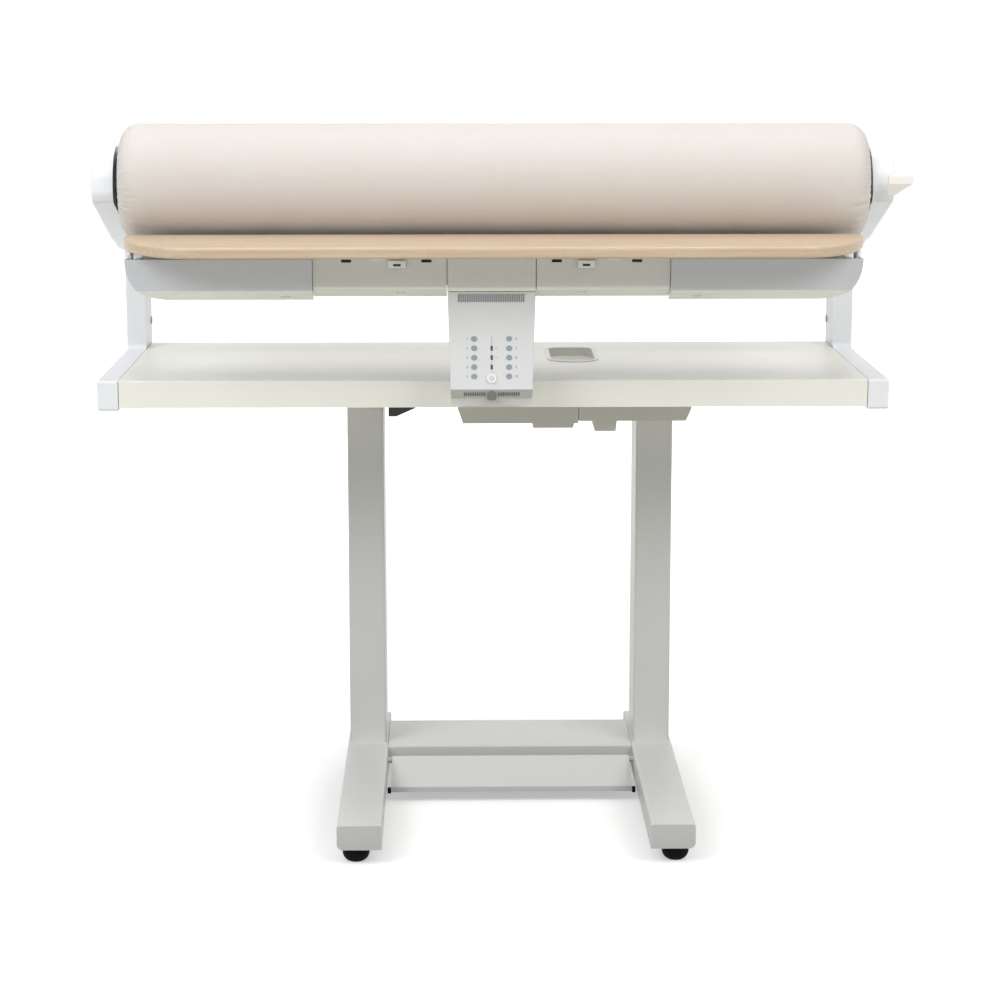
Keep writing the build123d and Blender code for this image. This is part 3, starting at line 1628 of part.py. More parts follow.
with BuildPart() as lever_grip:
    with BuildSketch(facing(grip_back)):
        outline(
            [
                (grip_inner_x, grip_top),
                (grip_outer_x, grip_top),
                (grip_outer_x, grip_top - grip_face + grip_skin),
                (frame_outer + grip_corner_reach, grip_bottom + grip_corner_rise),
                (frame_outer - grip_bar_drop, grip_bottom),
                (grip_inner_x, grip_bottom),
            ],
            [grip_root_round, grip_tip_round, grip_tip_round, grip_under_round, grip_heel_round, grip_root_round],
        )
    extrude(amount=grip_back - grip_front)
    with BuildSketch(across(grip_inner_x - grip_skin)):
        outline(
            [
                (grip_front - grip_skin, grip_top - grip_face),
                (grip_front, grip_top - grip_face),
                (grip_back - grip_bar_drop, grip_bottom - grip_skin),
                (grip_front - grip_skin, grip_bottom - grip_skin),
            ]
        )
    extrude(amount=grip_outer_x - grip_inner_x + 2 * grip_skin, mode=Mode.SUBTRACT)

with BuildPart() as release_lever:
    cam_y = lever_pivot_y + cam_throw * cos(radians(cam_swing))
    cam_z = lever_pivot_z - cam_throw * sin(radians(cam_swing))
    bar_inner = frame_outer + seat_gap
    bar_outer = bar_inner + lever_bar_thickness
    rod_x(
        lever_shaft_radius, frame_inner + frame_wall + seat_gap, bar_outer, lever_pivot_y, lever_pivot_z
    )
    rod_x(cam_radius, cam_left, cam_left + cam_thickness, cam_y, cam_z)
    with BuildSketch(across(bar_inner)):
        with Locations((lever_pivot_y, lever_pivot_z)):
            Circle(lever_hub_radius)
        outline(
            [
                (lever_pivot_y, lever_pivot_z + lever_bar_height / 2),
                (grip_back - grip_bar_overlap, grip_top - grip_bar_drop),
                (grip_back - grip_bar_overlap, grip_top - grip_bar_drop - lever_bar_height),
                (lever_pivot_y, lever_pivot_z - lever_bar_height / 2),
            ]
        )
    extrude(amount=lever_bar_thickness)
    add(lever_grip.part)
write(release_lever, "release_lever")
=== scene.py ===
import json
import math
import random

import bpy
import numpy as np
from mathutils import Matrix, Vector


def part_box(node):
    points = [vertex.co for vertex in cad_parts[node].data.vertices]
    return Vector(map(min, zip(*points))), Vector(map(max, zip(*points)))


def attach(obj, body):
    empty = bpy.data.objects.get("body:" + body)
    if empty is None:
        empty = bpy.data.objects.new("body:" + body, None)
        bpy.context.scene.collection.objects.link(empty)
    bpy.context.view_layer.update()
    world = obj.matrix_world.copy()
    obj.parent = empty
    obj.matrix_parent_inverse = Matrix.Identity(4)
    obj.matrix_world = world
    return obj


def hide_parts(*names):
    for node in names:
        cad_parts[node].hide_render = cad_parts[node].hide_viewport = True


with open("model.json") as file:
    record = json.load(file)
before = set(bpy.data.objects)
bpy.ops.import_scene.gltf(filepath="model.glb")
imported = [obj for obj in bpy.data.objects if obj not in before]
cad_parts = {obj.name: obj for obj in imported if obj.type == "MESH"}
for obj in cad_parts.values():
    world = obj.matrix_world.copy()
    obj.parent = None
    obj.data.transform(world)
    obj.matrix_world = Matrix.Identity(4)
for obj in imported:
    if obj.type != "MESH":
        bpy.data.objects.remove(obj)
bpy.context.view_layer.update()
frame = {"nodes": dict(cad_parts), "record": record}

scene = bpy.context.scene
random.seed(14)
print("frame loaded:", len(frame["nodes"]), "nodes")

# everything below is in metres, in the frame's own axes
rollerLow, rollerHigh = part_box("roller_cover")
rollerAxis = (rollerLow + rollerHigh) / 2
panelLow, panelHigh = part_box("control_panel")


# ---- small helpers for modelling

def clearSelection():
    if bpy.context.mode != "OBJECT":
        bpy.ops.object.mode_set(mode="OBJECT")
    bpy.ops.object.select_all(action="DESELECT")


def takeUp(piece):
    clearSelection()
    piece.select_set(True)
    bpy.context.view_layer.objects.active = piece


def fresh(name):
    # the primitive that was just added, under its own name
    piece = bpy.context.active_object
    piece.name = name
    piece.data.name = name
    return piece


def block(name, centre, sizes):
    clearSelection()
    bpy.ops.mesh.primitive_cube_add(size=1, location=centre)
    piece = fresh(name)
    piece.scale = sizes
    bpy.ops.object.transform_apply(location=True, rotation=True, scale=True)
    return piece


def pickFaces(piece, test):
    # opens the piece in edit mode with only the faces selected that pass the test
    takeUp(piece)
    bpy.ops.object.mode_set(mode="EDIT")
    bpy.ops.mesh.select_mode(type="FACE")
    bpy.ops.mesh.select_all(action="DESELECT")
    bpy.ops.object.mode_set(mode="OBJECT")
    for face in piece.data.polygons:
        face.select = test(piece.matrix_world @ face.center, face.normal)
    bpy.ops.object.mode_set(mode="EDIT")


def pickEdges(piece, test):
    takeUp(piece)
    bpy.ops.object.mode_set(mode="EDIT")
    bpy.ops.mesh.select_mode(type="EDGE")
    bpy.ops.mesh.select_all(action="DESELECT")
    bpy.ops.object.mode_set(mode="OBJECT")
    points = [piece.matrix_world @ v.co for v in piece.data.vertices]
    for edge in piece.data.edges:
        edge.select = test(points[edge.vertices[0]], points[edge.vertices[1]])
    bpy.ops.object.mode_set(mode="EDIT")


sameLine = 1e-6        # points nearer than this count as level with each other


def runsBack(a, b):
    # an edge that runs straight from front to back
    return abs(a.x - b.x) < sameLine and abs(a.z - b.z) < sameLine


def liesAt(a, b, depth):
    # an edge in the upright plane at that depth
    return abs(a.y - depth) < sameLine and abs(b.y - depth) < sameLine


def bakeIn(piece):
    # modifiers applied, place moved into the mesh
    takeUp(piece)
    for modifier in list(piece.modifiers):
        bpy.ops.object.modifier_apply(modifier=modifier.name)
    bpy.ops.object.transform_apply(location=True, rotation=True, scale=True)


def closeUp(piece, angle=35):
    # doubles merged, normals outwards, smooth where the faces nearly meet
    takeUp(piece)
    bpy.ops.object.mode_set(mode="EDIT")
    bpy.ops.mesh.select_all(action="SELECT")
    bpy.ops.mesh.remove_doubles(threshold=0.00001)
    bpy.ops.mesh.normals_make_consistent(inside=False)
    bpy.ops.object.mode_set(mode="OBJECT")
    bpy.ops.object.shade_smooth_by_angle(angle=math.radians(angle))


def dress(piece, finish, body):
    piece.data.materials.clear()
    piece.data.materials.append(finish.material)
    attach(piece, body)


# ---- shader building

def tone(red, green, blue):
    # a colour as seen on screen, 0 to 255, to the value a shader takes
    values = [c / 255 for c in (red, green, blue)]
    return tuple(c / 12.92 if c <= 0.04045 else ((c + 0.055) / 1.055) ** 2.4 for c in values) + (1.0,)


class Wire:
    # a value on its way through a shader: arithmetic on it adds Math nodes

    def __init__(self, finish, socket):
        self.finish = finish
        self.socket = socket

    def maths(self, operation, first, second=None):
        return self.finish.maths(operation, first, second)

    def __add__(self, other):
        return self.maths("ADD", self, other)

    def __radd__(self, other):
        return self.maths("ADD", other, self)

    def __sub__(self, other):
        return self.maths("SUBTRACT", self, other)

    def __rsub__(self, other):
        return self.maths("SUBTRACT", other, self)

    def __mul__(self, other):
        return self.maths("MULTIPLY", self, other)

    def __rmul__(self, other):
        return self.maths("MULTIPLY", other, self)

    def __truediv__(self, other):
        return self.maths("DIVIDE", self, other)

    def __gt__(self, other):
        return self.maths("GREATER_THAN", self, other)

    def __lt__(self, other):
        return self.maths("LESS_THAN", self, other)

    def __pow__(self, other):
        return self.maths("POWER", self, other)


class Finish:
    # one material: a Principled shader with its constants set on its own sockets

    def __init__(self, name, **constants):
        self.material = bpy.data.materials.new(name)
        self.material.use_nodes = True
        self.tree = self.material.node_tree
        self.shader = self.tree.nodes["Principled BSDF"]
        for label, value in constants.items():
            self.shader.inputs[label.replace("_", " ")].default_value = value

    def node(self, kind, settings=None, values=None, out=0):
        made = self.tree.nodes.new(kind)
        for key, value in (settings or {}).items():
            setattr(made, key, value)
        for label, value in (values or {}).items():
            self.feed(made.inputs[label], value)
        return Wire(self, made.outputs[out] if len(made.outputs) else None)

    def maths(self, operation, first, second=None):
        return self.node("ShaderNodeMath", {"operation": operation}, {0: first, 1: second})

    def feed(self, socket, value):
        if isinstance(value, Wire):
            self.tree.links.new(value.socket, socket)
        elif value is not None:
            socket.default_value = value

    def shade(self, **values):
        for label, value in values.items():
            self.feed(self.shader.inputs[label.replace("_", " ")], value)

    def place(self, scale=(1, 1, 1), offset=(0, 0, 0)):
        seat = self.node("ShaderNodeTexCoord", out="Object")
        return self.node("ShaderNodeMapping", {}, {"Vector": seat, "Scale": scale, "Location": offset})

    def split(self, vector):
        parts = self.node("ShaderNodeSeparateXYZ", {}, {0: vector})
        return {axis: Wire(self, parts.socket.node.outputs[axis]) for axis in "XYZ"}

    def noise(self, where, scale, detail=2.0, rough=0.5):
        values = {"Vector": where, "Scale": scale, "Detail": detail, "Roughness": rough}
        return self.node("ShaderNodeTexNoise", {}, values, out="Fac")

    def ramp(self, value, low, high):
        # 0 below low, 1 above high
        values = {"Value": value, "From Min": low, "From Max": high}
        return self.node("ShaderNodeMapRange", {"interpolation_type": "SMOOTHSTEP"}, values)

    def mix(self, factor, first, second):
        return self.node("ShaderNodeMix", {"data_type": "RGBA"}, {0: factor, 6: first, 7: second}, out=2)

    def bump(self, height, distance, strength=1.0):
        return self.node("ShaderNodeBump", {}, {"Height": height, "Distance": distance, "Strength": strength})


def shift(colour, amount):
    return tuple(max(0.0, min(1.0, c * (1 + amount))) for c in colour[:3]) + (1.0,)


# paint on sheet steel: soft orange peel, faint clouding, a few darker specks
def paint(name, colour, rough=0.36, peel=0.00003, cloud=0.025):
    f = Finish(name, Specular_IOR_Level=0.5)
    here = f.place()
    broad = f.noise(here, 5.5, 3.0)
    peelNoise = f.noise(here, 620.0, 1.0)
    speck = f.ramp(f.noise(here, 300.0, 1.0), 0.79, 0.86)
    rub = f.noise(here, 34.0, 4.0, 0.6)
    colourNow = f.mix(broad, shift(colour, -cloud), shift(colour, cloud))
    f.shade(
        Base_Color=f.mix(speck * 0.12, colourNow, shift(colour, -0.35)),
        Roughness=rough + (rub - 0.5) * 0.16,
        Normal=f.bump(peelNoise, peel),
    )
    return f


# how far under and over the fold a cover is painted paler, as light bounced up from the shelf, and how smooth
# it is below
paintedBounceFold = {"under": 0.0006, "over": 0.0022, "rough": 0.17}


# moulded plastic: spark-eroded grain, faint flow marks; below the fold a cover may be painted paler, as light
# bounced up from the shelf
def plastic(name, colour, rough=0.5, grain=0.00002, grainScale=1500.0, cloud=0.02,
            fold=None, paintedBounce=None, **constants):
    f = Finish(name, **constants)
    here = f.place()
    flow = f.noise(f.place(scale=(0.6, 1.0, 1.6)), 7.0, 3.0)
    grainNoise = f.noise(here, grainScale, 1.0)
    rub = f.noise(here, 55.0, 4.0, 0.6)
    body = f.mix(flow, shift(colour, -cloud), shift(colour, cloud))
    shine = rough + (rub - 0.5) * 0.12
    if fold is not None:
        below = 1 - f.ramp(f.split(here)["Z"], fold - paintedBounceFold["under"], fold + paintedBounceFold["over"])
        # below the fold the colour is painted paler: painted bounce light from the shelf
        body = f.mix(below, body, paintedBounce)
        shine = shine - below * (rough - paintedBounceFold["rough"])
    f.shade(
        Base_Color=body,
        Roughness=shine,
        Normal=f.bump(grainNoise, grain),
    )
    return f


def metal(name, colour, rough, streak=(1, 1, 1), depth=0.000012, cloud=0.06):
    f = Finish(name, Metallic=1.0)
    lines = f.noise(f.place(scale=streak), 260.0, 3.0, 0.6)
    cloudy = f.noise(f.place(), 12.0, 3.0)
    f.shade(
        Base_Color=f.mix(cloudy, shift(colour, -cloud), shift(colour, cloud)),
        Roughness=rough + (lines - 0.5) * 0.22,
        Normal=f.bump(lines, depth),
    )
    return f


def rubber(name, colour):
    f = Finish(name, Specular_IOR_Level=0.12)
    here = f.place()
    dust = f.ramp(f.noise(here, 90.0, 5.0, 0.7), 0.52, 0.75)
    f.shade(
        Base_Color=f.mix(dust * 0.3, colour, shift(colour, 1.2)),
        Roughness=0.62 + f.noise(here, 160.0, 2.0) * 0.18,
        Normal=f.bump(f.noise(here, 1100.0, 1.0), 0.00003),
    )
    return f


# varnished beech: straight pale grain along the board, short brown flecks, soft varnish
def beechWood(name, pale, brown, fleck):
    f = Finish(name, Coat_IOR=1.45, Coat_Roughness=0.22, Coat_Weight=0.25)
    wander = f.noise(f.place(scale=(1.0, 3.0, 3.0)), 2.2, 2.0)
    grainPlace = f.place(scale=(1.0, 26.0, 26.0))
    streaks = f.noise(grainPlace, 7.0, 4.0, 0.55)
    fineLines = f.noise(f.place(scale=(1.0, 60.0, 60.0)), 14.0, 3.0, 0.6)
    fleckNoise = f.noise(f.place(scale=(1.0, 11.0, 11.0), offset=(3.1, 0.7, 0.2)), 95.0, 2.0, 0.4)
    flecks = f.ramp(fleckNoise, 0.62, 0.70)
    body = f.mix(f.ramp(streaks, 0.3, 0.72), pale, brown)
    body = f.mix(f.ramp(fineLines, 0.45, 0.75) * 0.35, body, brown)
    body = f.mix(f.ramp(wander, 0.35, 0.75) * 0.30, body, shift(pale, 0.06))
    f.shade(
        Base_Color=f.mix(flecks * 0.42, body, fleck),
        Roughness=0.42 + streaks * 0.14,
        Normal=f.bump(fineLines - flecks * 0.6, 0.00004),
    )
    return f


# plain weave cotton that follows the roller round its axis, with a stitched lap at the back
def cottonWeave(name, pale, warm, thread, lap):
    f = Finish(name, Sheen_Weight=0.25, Sheen_Roughness=0.5)
    seat = f.node("ShaderNodeTexCoord", out="Object")
    fromAxis = f.node("ShaderNodeVectorMath", {"operation": "SUBTRACT"}, {0: seat, 1: tuple(rollerAxis)})
    parts = f.split(fromAxis)
    along, back, up = parts["X"], parts["Y"], parts["Z"]
    angle = f.maths("ARCTAN2", back, up)        # 0 on top, growing to the back
    out = (back * back + up * up) ** 0.5
    warp = f.maths("SINE", angle * (lap["radius"] / thread * math.pi))
    weft = f.maths("SINE", (along + out) * (math.pi / thread))
    weave = warp * weft
    # thick places in the thread, drawn out round the roller and along it
    drawnRound = f.node("ShaderNodeCombineXYZ", {}, {"X": along * 60.0, "Y": angle * 0.23, "Z": out})
    drawnAlong = f.node("ShaderNodeCombineXYZ", {}, {"X": along * 3.0, "Y": angle * 4.6, "Z": out})
    slubAlong = f.noise(drawnAlong, 9.0, 3.0, 0.6)
    slubRound = f.noise(drawnRound, 9.0, 3.0, 0.6)
    cloud = f.noise(seat, 9.0, 4.0, 0.55)
    cloth = f.mix(cloud, pale, warm)
    cloth = f.mix(f.ramp(slubAlong, 0.42, 0.8) * 0.16, cloth, shift(warm, -0.12))
    cloth = f.mix(f.ramp(slubRound, 0.42, 0.8) * 0.16, cloth, shift(pale, 0.05))
    # two rows of thread along the lap
    outside = out > lap["inside"]
    beside = f.maths("ABSOLUTE", (angle - lap["angle"]) * lap["radius"])
    row = f.maths("ABSOLUTE", beside - lap["rows"])
    dash = f.ramp(f.maths("SINE", along * (math.tau / lap["stitch"])), -0.45, -0.15)
    stitches = (1 - f.ramp(row, 0.00022, 0.00042)) * dash * outside
    dimple = (1 - f.ramp(row, 0.0003, 0.0016)) * outside
    cloth = f.mix(stitches * 0.7, cloth, shift(pale, 0.06))
    # the dimple beside the stitch rows is also painted darker, as shade in the crease
    cloth = f.mix(dimple * (1 - stitches) * 0.22, cloth, shift(warm, -0.3))
    height = weave * 0.5 + slubAlong * 0.8 + slubRound * 0.8 + stitches * 3.0 - dimple * 2.0
    f.shade(
        Base_Color=cloth,
        Roughness=0.86 + slubAlong * 0.1,
        Normal=f.bump(height, 0.00012, 0.7),
    )
    return f


coverLap = {
    "angle": 1.75,
    "width": 0.0130,
    "rise": 0.0007,
    "rows": 0.0044,
    "stitch": 0.0036,
    "radius": 0.0770,        # where the cloth lies
    "inside": 0.0700,        # no stitches nearer to the axis than this
}
# pale cream painted on the covers' lower faces, as light bounced up from the shelf
paintedBounceCream = tone(242, 243, 234)

finishes = {
    "shell_white": paint("CasingWhitePaint", tone(233, 235, 239)),
    "stand_white": paint("StandWhitePaint", tone(219, 219, 217)),
    "shelf_white": paint("ShelfWhitePaint", tone(236, 235, 227), 0.34),
    "bracket_steel": paint("BracketPaint", tone(236, 236, 236)),
    "dark_steel": paint("BeamPrimer", tone(52, 52, 54), 0.5),
    "frame_steel": paint("ShoeFramePaint", tone(168, 170, 173), 0.4),
    "shoe_cover_steel": paint("ShoeCoverPaint", tone(205, 206, 208), 0.4),
    "cover_white": plastic("CoverWhitePlastic", tone(214, 215, 212), 0.4, fold=0.7558, paintedBounce=paintedBounceCream),
    "cover_grey": plastic("CoverGreyPlastic", tone(201, 204, 209), 0.36, fold=0.7518, paintedBounce=paintedBounceCream),
    "box_grey": plastic("BoxGreyPlastic", tone(200, 200, 197)),
    "panel_grey": plastic("PanelPalePlastic", tone(224, 225, 227), 0.4, 0.000012, 2200.0, 0.012),
    "under_grey": plastic("UnderBoxPlastic", tone(206, 204, 196)),
    "well_white": plastic("WellPlastic", tone(222, 222, 214), 0.3),
    "lever_white": plastic("LeverPlastic", tone(238, 236, 230), 0.32),
    "power_white": plastic("PowerKeyPlastic", tone(240, 240, 240), 0.25, 0.000005),
    "key_blue": plastic("KeyPlastic", tone(148, 158, 172), 0.42, 0.00001),
    "lamp_lens": plastic("LampLens", tone(34, 36, 40), 0.15, 0.000002, Coat_Weight=0.6),
    "clip_plastic": plastic("ClipPlastic", tone(232, 233, 235), 0.28, 0.000006),
    "end_plastic": plastic("EndPlastic", tone(58, 58, 60), 0.5),
    "gear_plastic": plastic("GearPlastic", tone(224, 220, 208), 0.45),
    "tank_plastic": plastic("TankPlastic", tone(226, 230, 234), 0.4, Transmission_Weight=0.2),
    "pump_black": plastic("PumpPlastic", tone(34, 34, 36), 0.45),
    "gland_black": plastic("GlandPlastic", tone(28, 28, 30), 0.5),
    "circuit_green": plastic("CircuitBoard", tone(26, 92, 52), 0.35),
    "beech": beechWood("VarnishedBeech", tone(200, 180, 156), tone(187, 164, 136), tone(162, 132, 102)),
    "cotton": cottonWeave("RollerCotton", tone(214, 209, 206), tone(210, 202, 196), 0.00055, coverLap),
    "black_rubber": rubber("BlackRubber", tone(13, 13, 14)),
    "tube_steel": metal("TubeSteel", tone(176, 178, 180), 0.34, (0.02, 1, 1)),
    "screw_steel": metal("ScrewZinc", tone(168, 168, 166), 0.36),
    "gear_steel": metal("PinionSteel", tone(150, 150, 152), 0.32),
    "motor_steel": metal("MotorZinc", tone(160, 160, 158), 0.4),
    "heater_steel": metal("HeaterSheath", tone(112, 108, 104), 0.5),
    "shoe_aluminium": metal("ShoeAluminium", tone(206, 208, 210), 0.2, (0.02, 1, 1)),
    "cast_aluminium": metal("BoilerCasting", tone(188, 190, 192), 0.5, depth=0.00006),
}
# dark grey rubber: the hem's own colour, also standing in for the shade in the gap at the arms
hemElasticAndGapShade = rubber("HemElasticAndGapShade", tone(44, 44, 47))
panelInk = plastic("PanelInk", tone(104, 106, 112), 0.5)
latchGrey = plastic("LatchPlastic", tone(112, 109, 102), 0.5)

slotOf = {row["node"]: row["material_slot"] for row in frame["record"]["subparts"]}
for name, node in frame["nodes"].items():
    node.data.materials.clear()
    node.data.materials.append(finishes[slotOf[name]].material)
print("finishes:", len(finishes))


# ---- camera, where the photograph was taken from

view = {"place": (-0.0640, -3.5582, 1.1086), "tilt": 79.328, "pan": -1.03, "lens": 93.6}

cameraData = bpy.data.cameras.new("PhotoCamera")
cameraData.lens = view["lens"]
cameraData.sensor_width = 36.0
camera = bpy.data.objects.new("PhotoCamera", cameraData)
scene.collection.objects.link(camera)
camera.location = view["place"]
camera.rotation_euler = (math.radians(view["tilt"]), 0.0, math.radians(view["pan"]))
scene.camera = camera
scene.view_settings.view_transform = "Standard"
print("camera set")


# ---- padded cotton roller cover: spun from its section, gathered at both mouths

coverCut = {
    "radius": coverLap["radius"],
    "half": 0.4932,
    "shove": 0.0012,          # the cover sits a little to the right on its tube
    "endRound": 0.0260,
    "mouth": 0.0392,
    "lap": 0.0090,
    "bore": 0.0668,
    "step": 0.0052,           # length of a ring on the straight part
    "around": 384,
    "bendSteps": 20,
    "faceSteps": 8,
    "lapSteps": 4,
    "gatherBefore": 0.016,    # the gathers start this far before the round of the end
    "gatherRun": 0.030,       # and would be full after this length
    "bendGather": 0.53,       # how far it is gathered where the round starts
    "faceSwell": 0.0004,
    "lapFlare": 0.0006,
    "lapGather": 0.7,
    "lapFade": 0.17,
    "lapBack": 0.012,         # height of the turned-in edge over the mouth
}


def coverSection(cut):
    # half of the section, from the middle of the straight part to the lap: place, radius, how far gathered
    rows = []
    half, radius = cut["half"], cut["radius"]
    shoulder = half - cut["endRound"]
    count = int(shoulder / cut["step"])
    for i in range(count + 1):
        x = shoulder * i / count
        rows.append((x, radius, max(0.0, (x - shoulder + cut["gatherBefore"]) / cut["gatherRun"])))
    steps = cut["bendSteps"]
    for i in range(1, steps + 1):
        a = math.pi / 2 * i / steps
        x = shoulder + cut["endRound"] * math.sin(a)
        r = radius - cut["endRound"] * (1 - math.cos(a))
        rows.append((x, r, cut["bendGather"] + (1 - cut["bendGather"]) * i / steps))
    face = radius - cut["endRound"] - cut["mouth"]
    steps = cut["faceSteps"]
    for i in range(1, steps + 1):
        x = half + cut["faceSwell"] * math.sin(math.pi * i / steps)
        rows.append((x, radius - cut["endRound"] - face * i / steps, 1.0))
    steps = cut["lapSteps"]
    for i in range(1, steps + 1):
        r = cut["mouth"] + cut["lapFlare"] * i
        rows.append((half - cut["lap"] * i / steps, r, cut["lapGather"] - cut["lapFade"] * i))
    rows.append((half - cut["lap"], cut["mouth"] + cut["lapBack"], 0.0))
    rows.append((half - cut["lap"], cut["bore"], 0.0))
    return rows


def buildCover(cut):
    right = coverSection(cut)
    left = [(-x, r, g) for x, r, g in right[1:]]
    ring = left[::-1] + right
    bpy.ops.mesh.primitive_circle_add(vertices=len(ring), radius=0.1, location=rollerAxis)
    cover = fresh("roller_cotton")
    for vertex, (x, r, g) in zip(cover.data.vertices, ring):
        vertex.co = (x, 0.0, r)
    takeUp(cover)
    bpy.ops.object.mode_set(mode="EDIT")
    bpy.ops.mesh.select_all(action="SELECT")
    bpy.ops.mesh.spin(steps=cut["around"], angle=math.tau, center=rollerAxis, axis=(1, 0, 0), dupli=False)
    bpy.ops.mesh.remove_doubles(threshold=0.00002)
    bpy.ops.mesh.normals_make_consistent(inside=False)
    bpy.ops.object.mode_set(mode="OBJECT")
    bakeIn(cover)
    return cover, ring


pleatShape = {
    "count": 92,
    "height": 0.0021,
    "pitch": (0.55, 0.9),              # shares of the even pitch: least, and added at random
    "slackAt": 0.75,                   # slack cloth hangs low at the front
    "slackPower": 1.5,
    "reach": (0.22, 0.20, 0.58),       # least, added at random, and added at random where it is slack
    "depth": (0.22, 0.30, 0.95),
    "width": (0.00105, 0.0010, 0.0007),
    "lean": 0.22,
    "leanBack": 0.35,
    "fade": 1.2,
    "leastReach": 0.05,
    "leastRadius": 0.03,
    "widen": 0.9,
    "ridge": 0.42,                     # height of the swell beside a pleat, as a share of its depth
    "ridgeAt": 1.9,
    "ridgeWide": 1.2,
    "faceKeep": 0.35,
    "edge": 0.0002,
    "endLimit": 0.0012,
}

# soft unevenness of the felt under the cotton: height, waves along and round the roller
felt = {
    "broad": 0.00026, "broadAlong": 31, "broadRound": 42,
    "fine": 0.00018, "fineAlong": 73, "fineRound": 19,
}
lapEdge = 0.0012        # width over which the lap rises
skinDepth = 0.006       # felt and lap show only this near to the surface


def gatherCover(cover, cut, pleats, lap, ring):
    rel = np.array([v.co for v in cover.data.vertices], float) - np.array(rollerAxis)
    along = rel[:, 0]
    out = np.hypot(rel[:, 1], rel[:, 2])
    theta = np.arctan2(-rel[:, 1], -rel[:, 2])        # 0 straight down, a quarter turn at the front
    side = np.where(along > 0, 1, -1)
    fromEnd = cut["half"] - np.abs(along)
    section = np.array([(abs(x), r, g) for x, r, g in ring if x >= 0])
    # how gathered each point is, from the nearest point of the section
    alongGap = section[None, :, 0] - np.abs(along)[:, None]
    outGap = section[None, :, 1] - out[:, None]
    gathered = section[np.argmin(alongGap ** 2 + outGap ** 2, axis=1), 2]
    spin = random.Random(5)
    drop = np.zeros(len(rel))
    ridge = np.zeros(len(rel))
    for hand in (-1, 1):
        where = side == hand
        angle = 0.0
        for number in range(pleats["count"]):
            least, more = pleats["pitch"]
            angle += math.tau / pleats["count"] * (least + more * spin.random())
            low = max(0.0, math.cos(angle - pleats["slackAt"])) ** pleats["slackPower"]
            least, more, slack = pleats["reach"]
            reach = least + more * spin.random() + slack * low * spin.random()
            least, more, slack = pleats["depth"]
            depth = pleats["height"] * (least + more * spin.random() + slack * low * spin.random())
            lean = (spin.random() - pleats["leanBack"]) * pleats["lean"] * low
            least, more, slack = pleats["width"]
            width = least + more * spin.random() + slack * low
            centre = angle + lean * (1 - gathered)
            turn = (theta - centre + math.pi) % math.tau - math.pi
            offset = turn * np.maximum(out, pleats["leastRadius"])
            grown = (gathered - (1 - reach)) / max(reach, pleats["leastReach"])
            fade = np.clip(grown, 0, 1) ** pleats["fade"]
            spread = width * (1.0 + pleats["widen"] * (1 - gathered))
            pressed = depth * fade * np.exp(-(offset / spread) ** 2)
            drop = np.maximum(drop, np.where(where, pressed, 0))
            besidePleat = (np.abs(offset) - pleats["ridgeAt"] * spread) / (pleats["ridgeWide"] * spread)
            raised = pleats["ridge"] * depth * fade * np.exp(-besidePleat ** 2)
            ridge = np.maximum(ridge, np.where(where, raised, 0))
    push = (ridge - drop) * (out > cut["mouth"] - pleats["edge"])
    roundWay = theta * cut["radius"]
    waves = np.sin(along * felt["broadAlong"] + 1.2) * np.sin(roundWay * felt["broadRound"] + 0.6)
    fineWaves = np.sin(along * felt["fineAlong"] + roundWay * felt["fineRound"])
    soft = felt["broad"] * waves + felt["fine"] * fineWaves
    # the lapped edge of the cloth at the back
    beside = np.abs((theta + math.pi) % math.tau - lap["angle"]) * cut["radius"]
    lapped = lap["rise"] * np.clip((lap["width"] / 2 - beside) / lapEdge, 0, 1)
    soft = (soft + lapped) * (out > cut["radius"] - skinDepth)
    slope = np.arcsin(np.clip((cut["endRound"] - fromEnd) / cut["endRound"], 0, 1))
    radial = np.cos(slope) * push + soft
    keep = np.where(fromEnd < pleats["edge"], pleats["faceKeep"], 1.0)
    limit = cut["half"] + pleats["endLimit"]
    moved = rel.copy()
    moved[:, 0] = np.clip(along + np.sin(slope) * push * side * keep, -limit, limit) + cut["shove"]
    moved[:, 1:] *= ((out + radial) / np.maximum(out, 1e-6))[:, None]
    for vertex, place in zip(cover.data.vertices, moved + np.array(rollerAxis)):
        vertex.co = place
    cover.data.update()


cover, coverRing = buildCover(coverCut)
gatherCover(cover, coverCut, pleatShape, coverLap, coverRing)
takeUp(cover)
bpy.ops.object.shade_smooth()
dress(cover, finishes["cotton"], "roller")
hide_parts("roller_cover")
print("roller cover:", len(cover.data.polygons), "faces")


# ---- elastic hem of the cover, scrunched round each mouth; its dark grey is partly the hem's own colour and partly painted shade of the gap beside the arms

hemBand = {
    "ring": 0.0408, "thick": 0.0019, "stand": 0.0011,
    "ridges": 106, "ridgeHeight": 0.0007, "ridgeSteps": 6, "roundSteps": 10,
    "wander": ((0.35, 9), (0.25, 23)),        # how far the ridges stray, and how often round the mouth
    "swell": (0.75, 0.25, 14),                # mean height, what a wave adds or takes, waves round the mouth
}


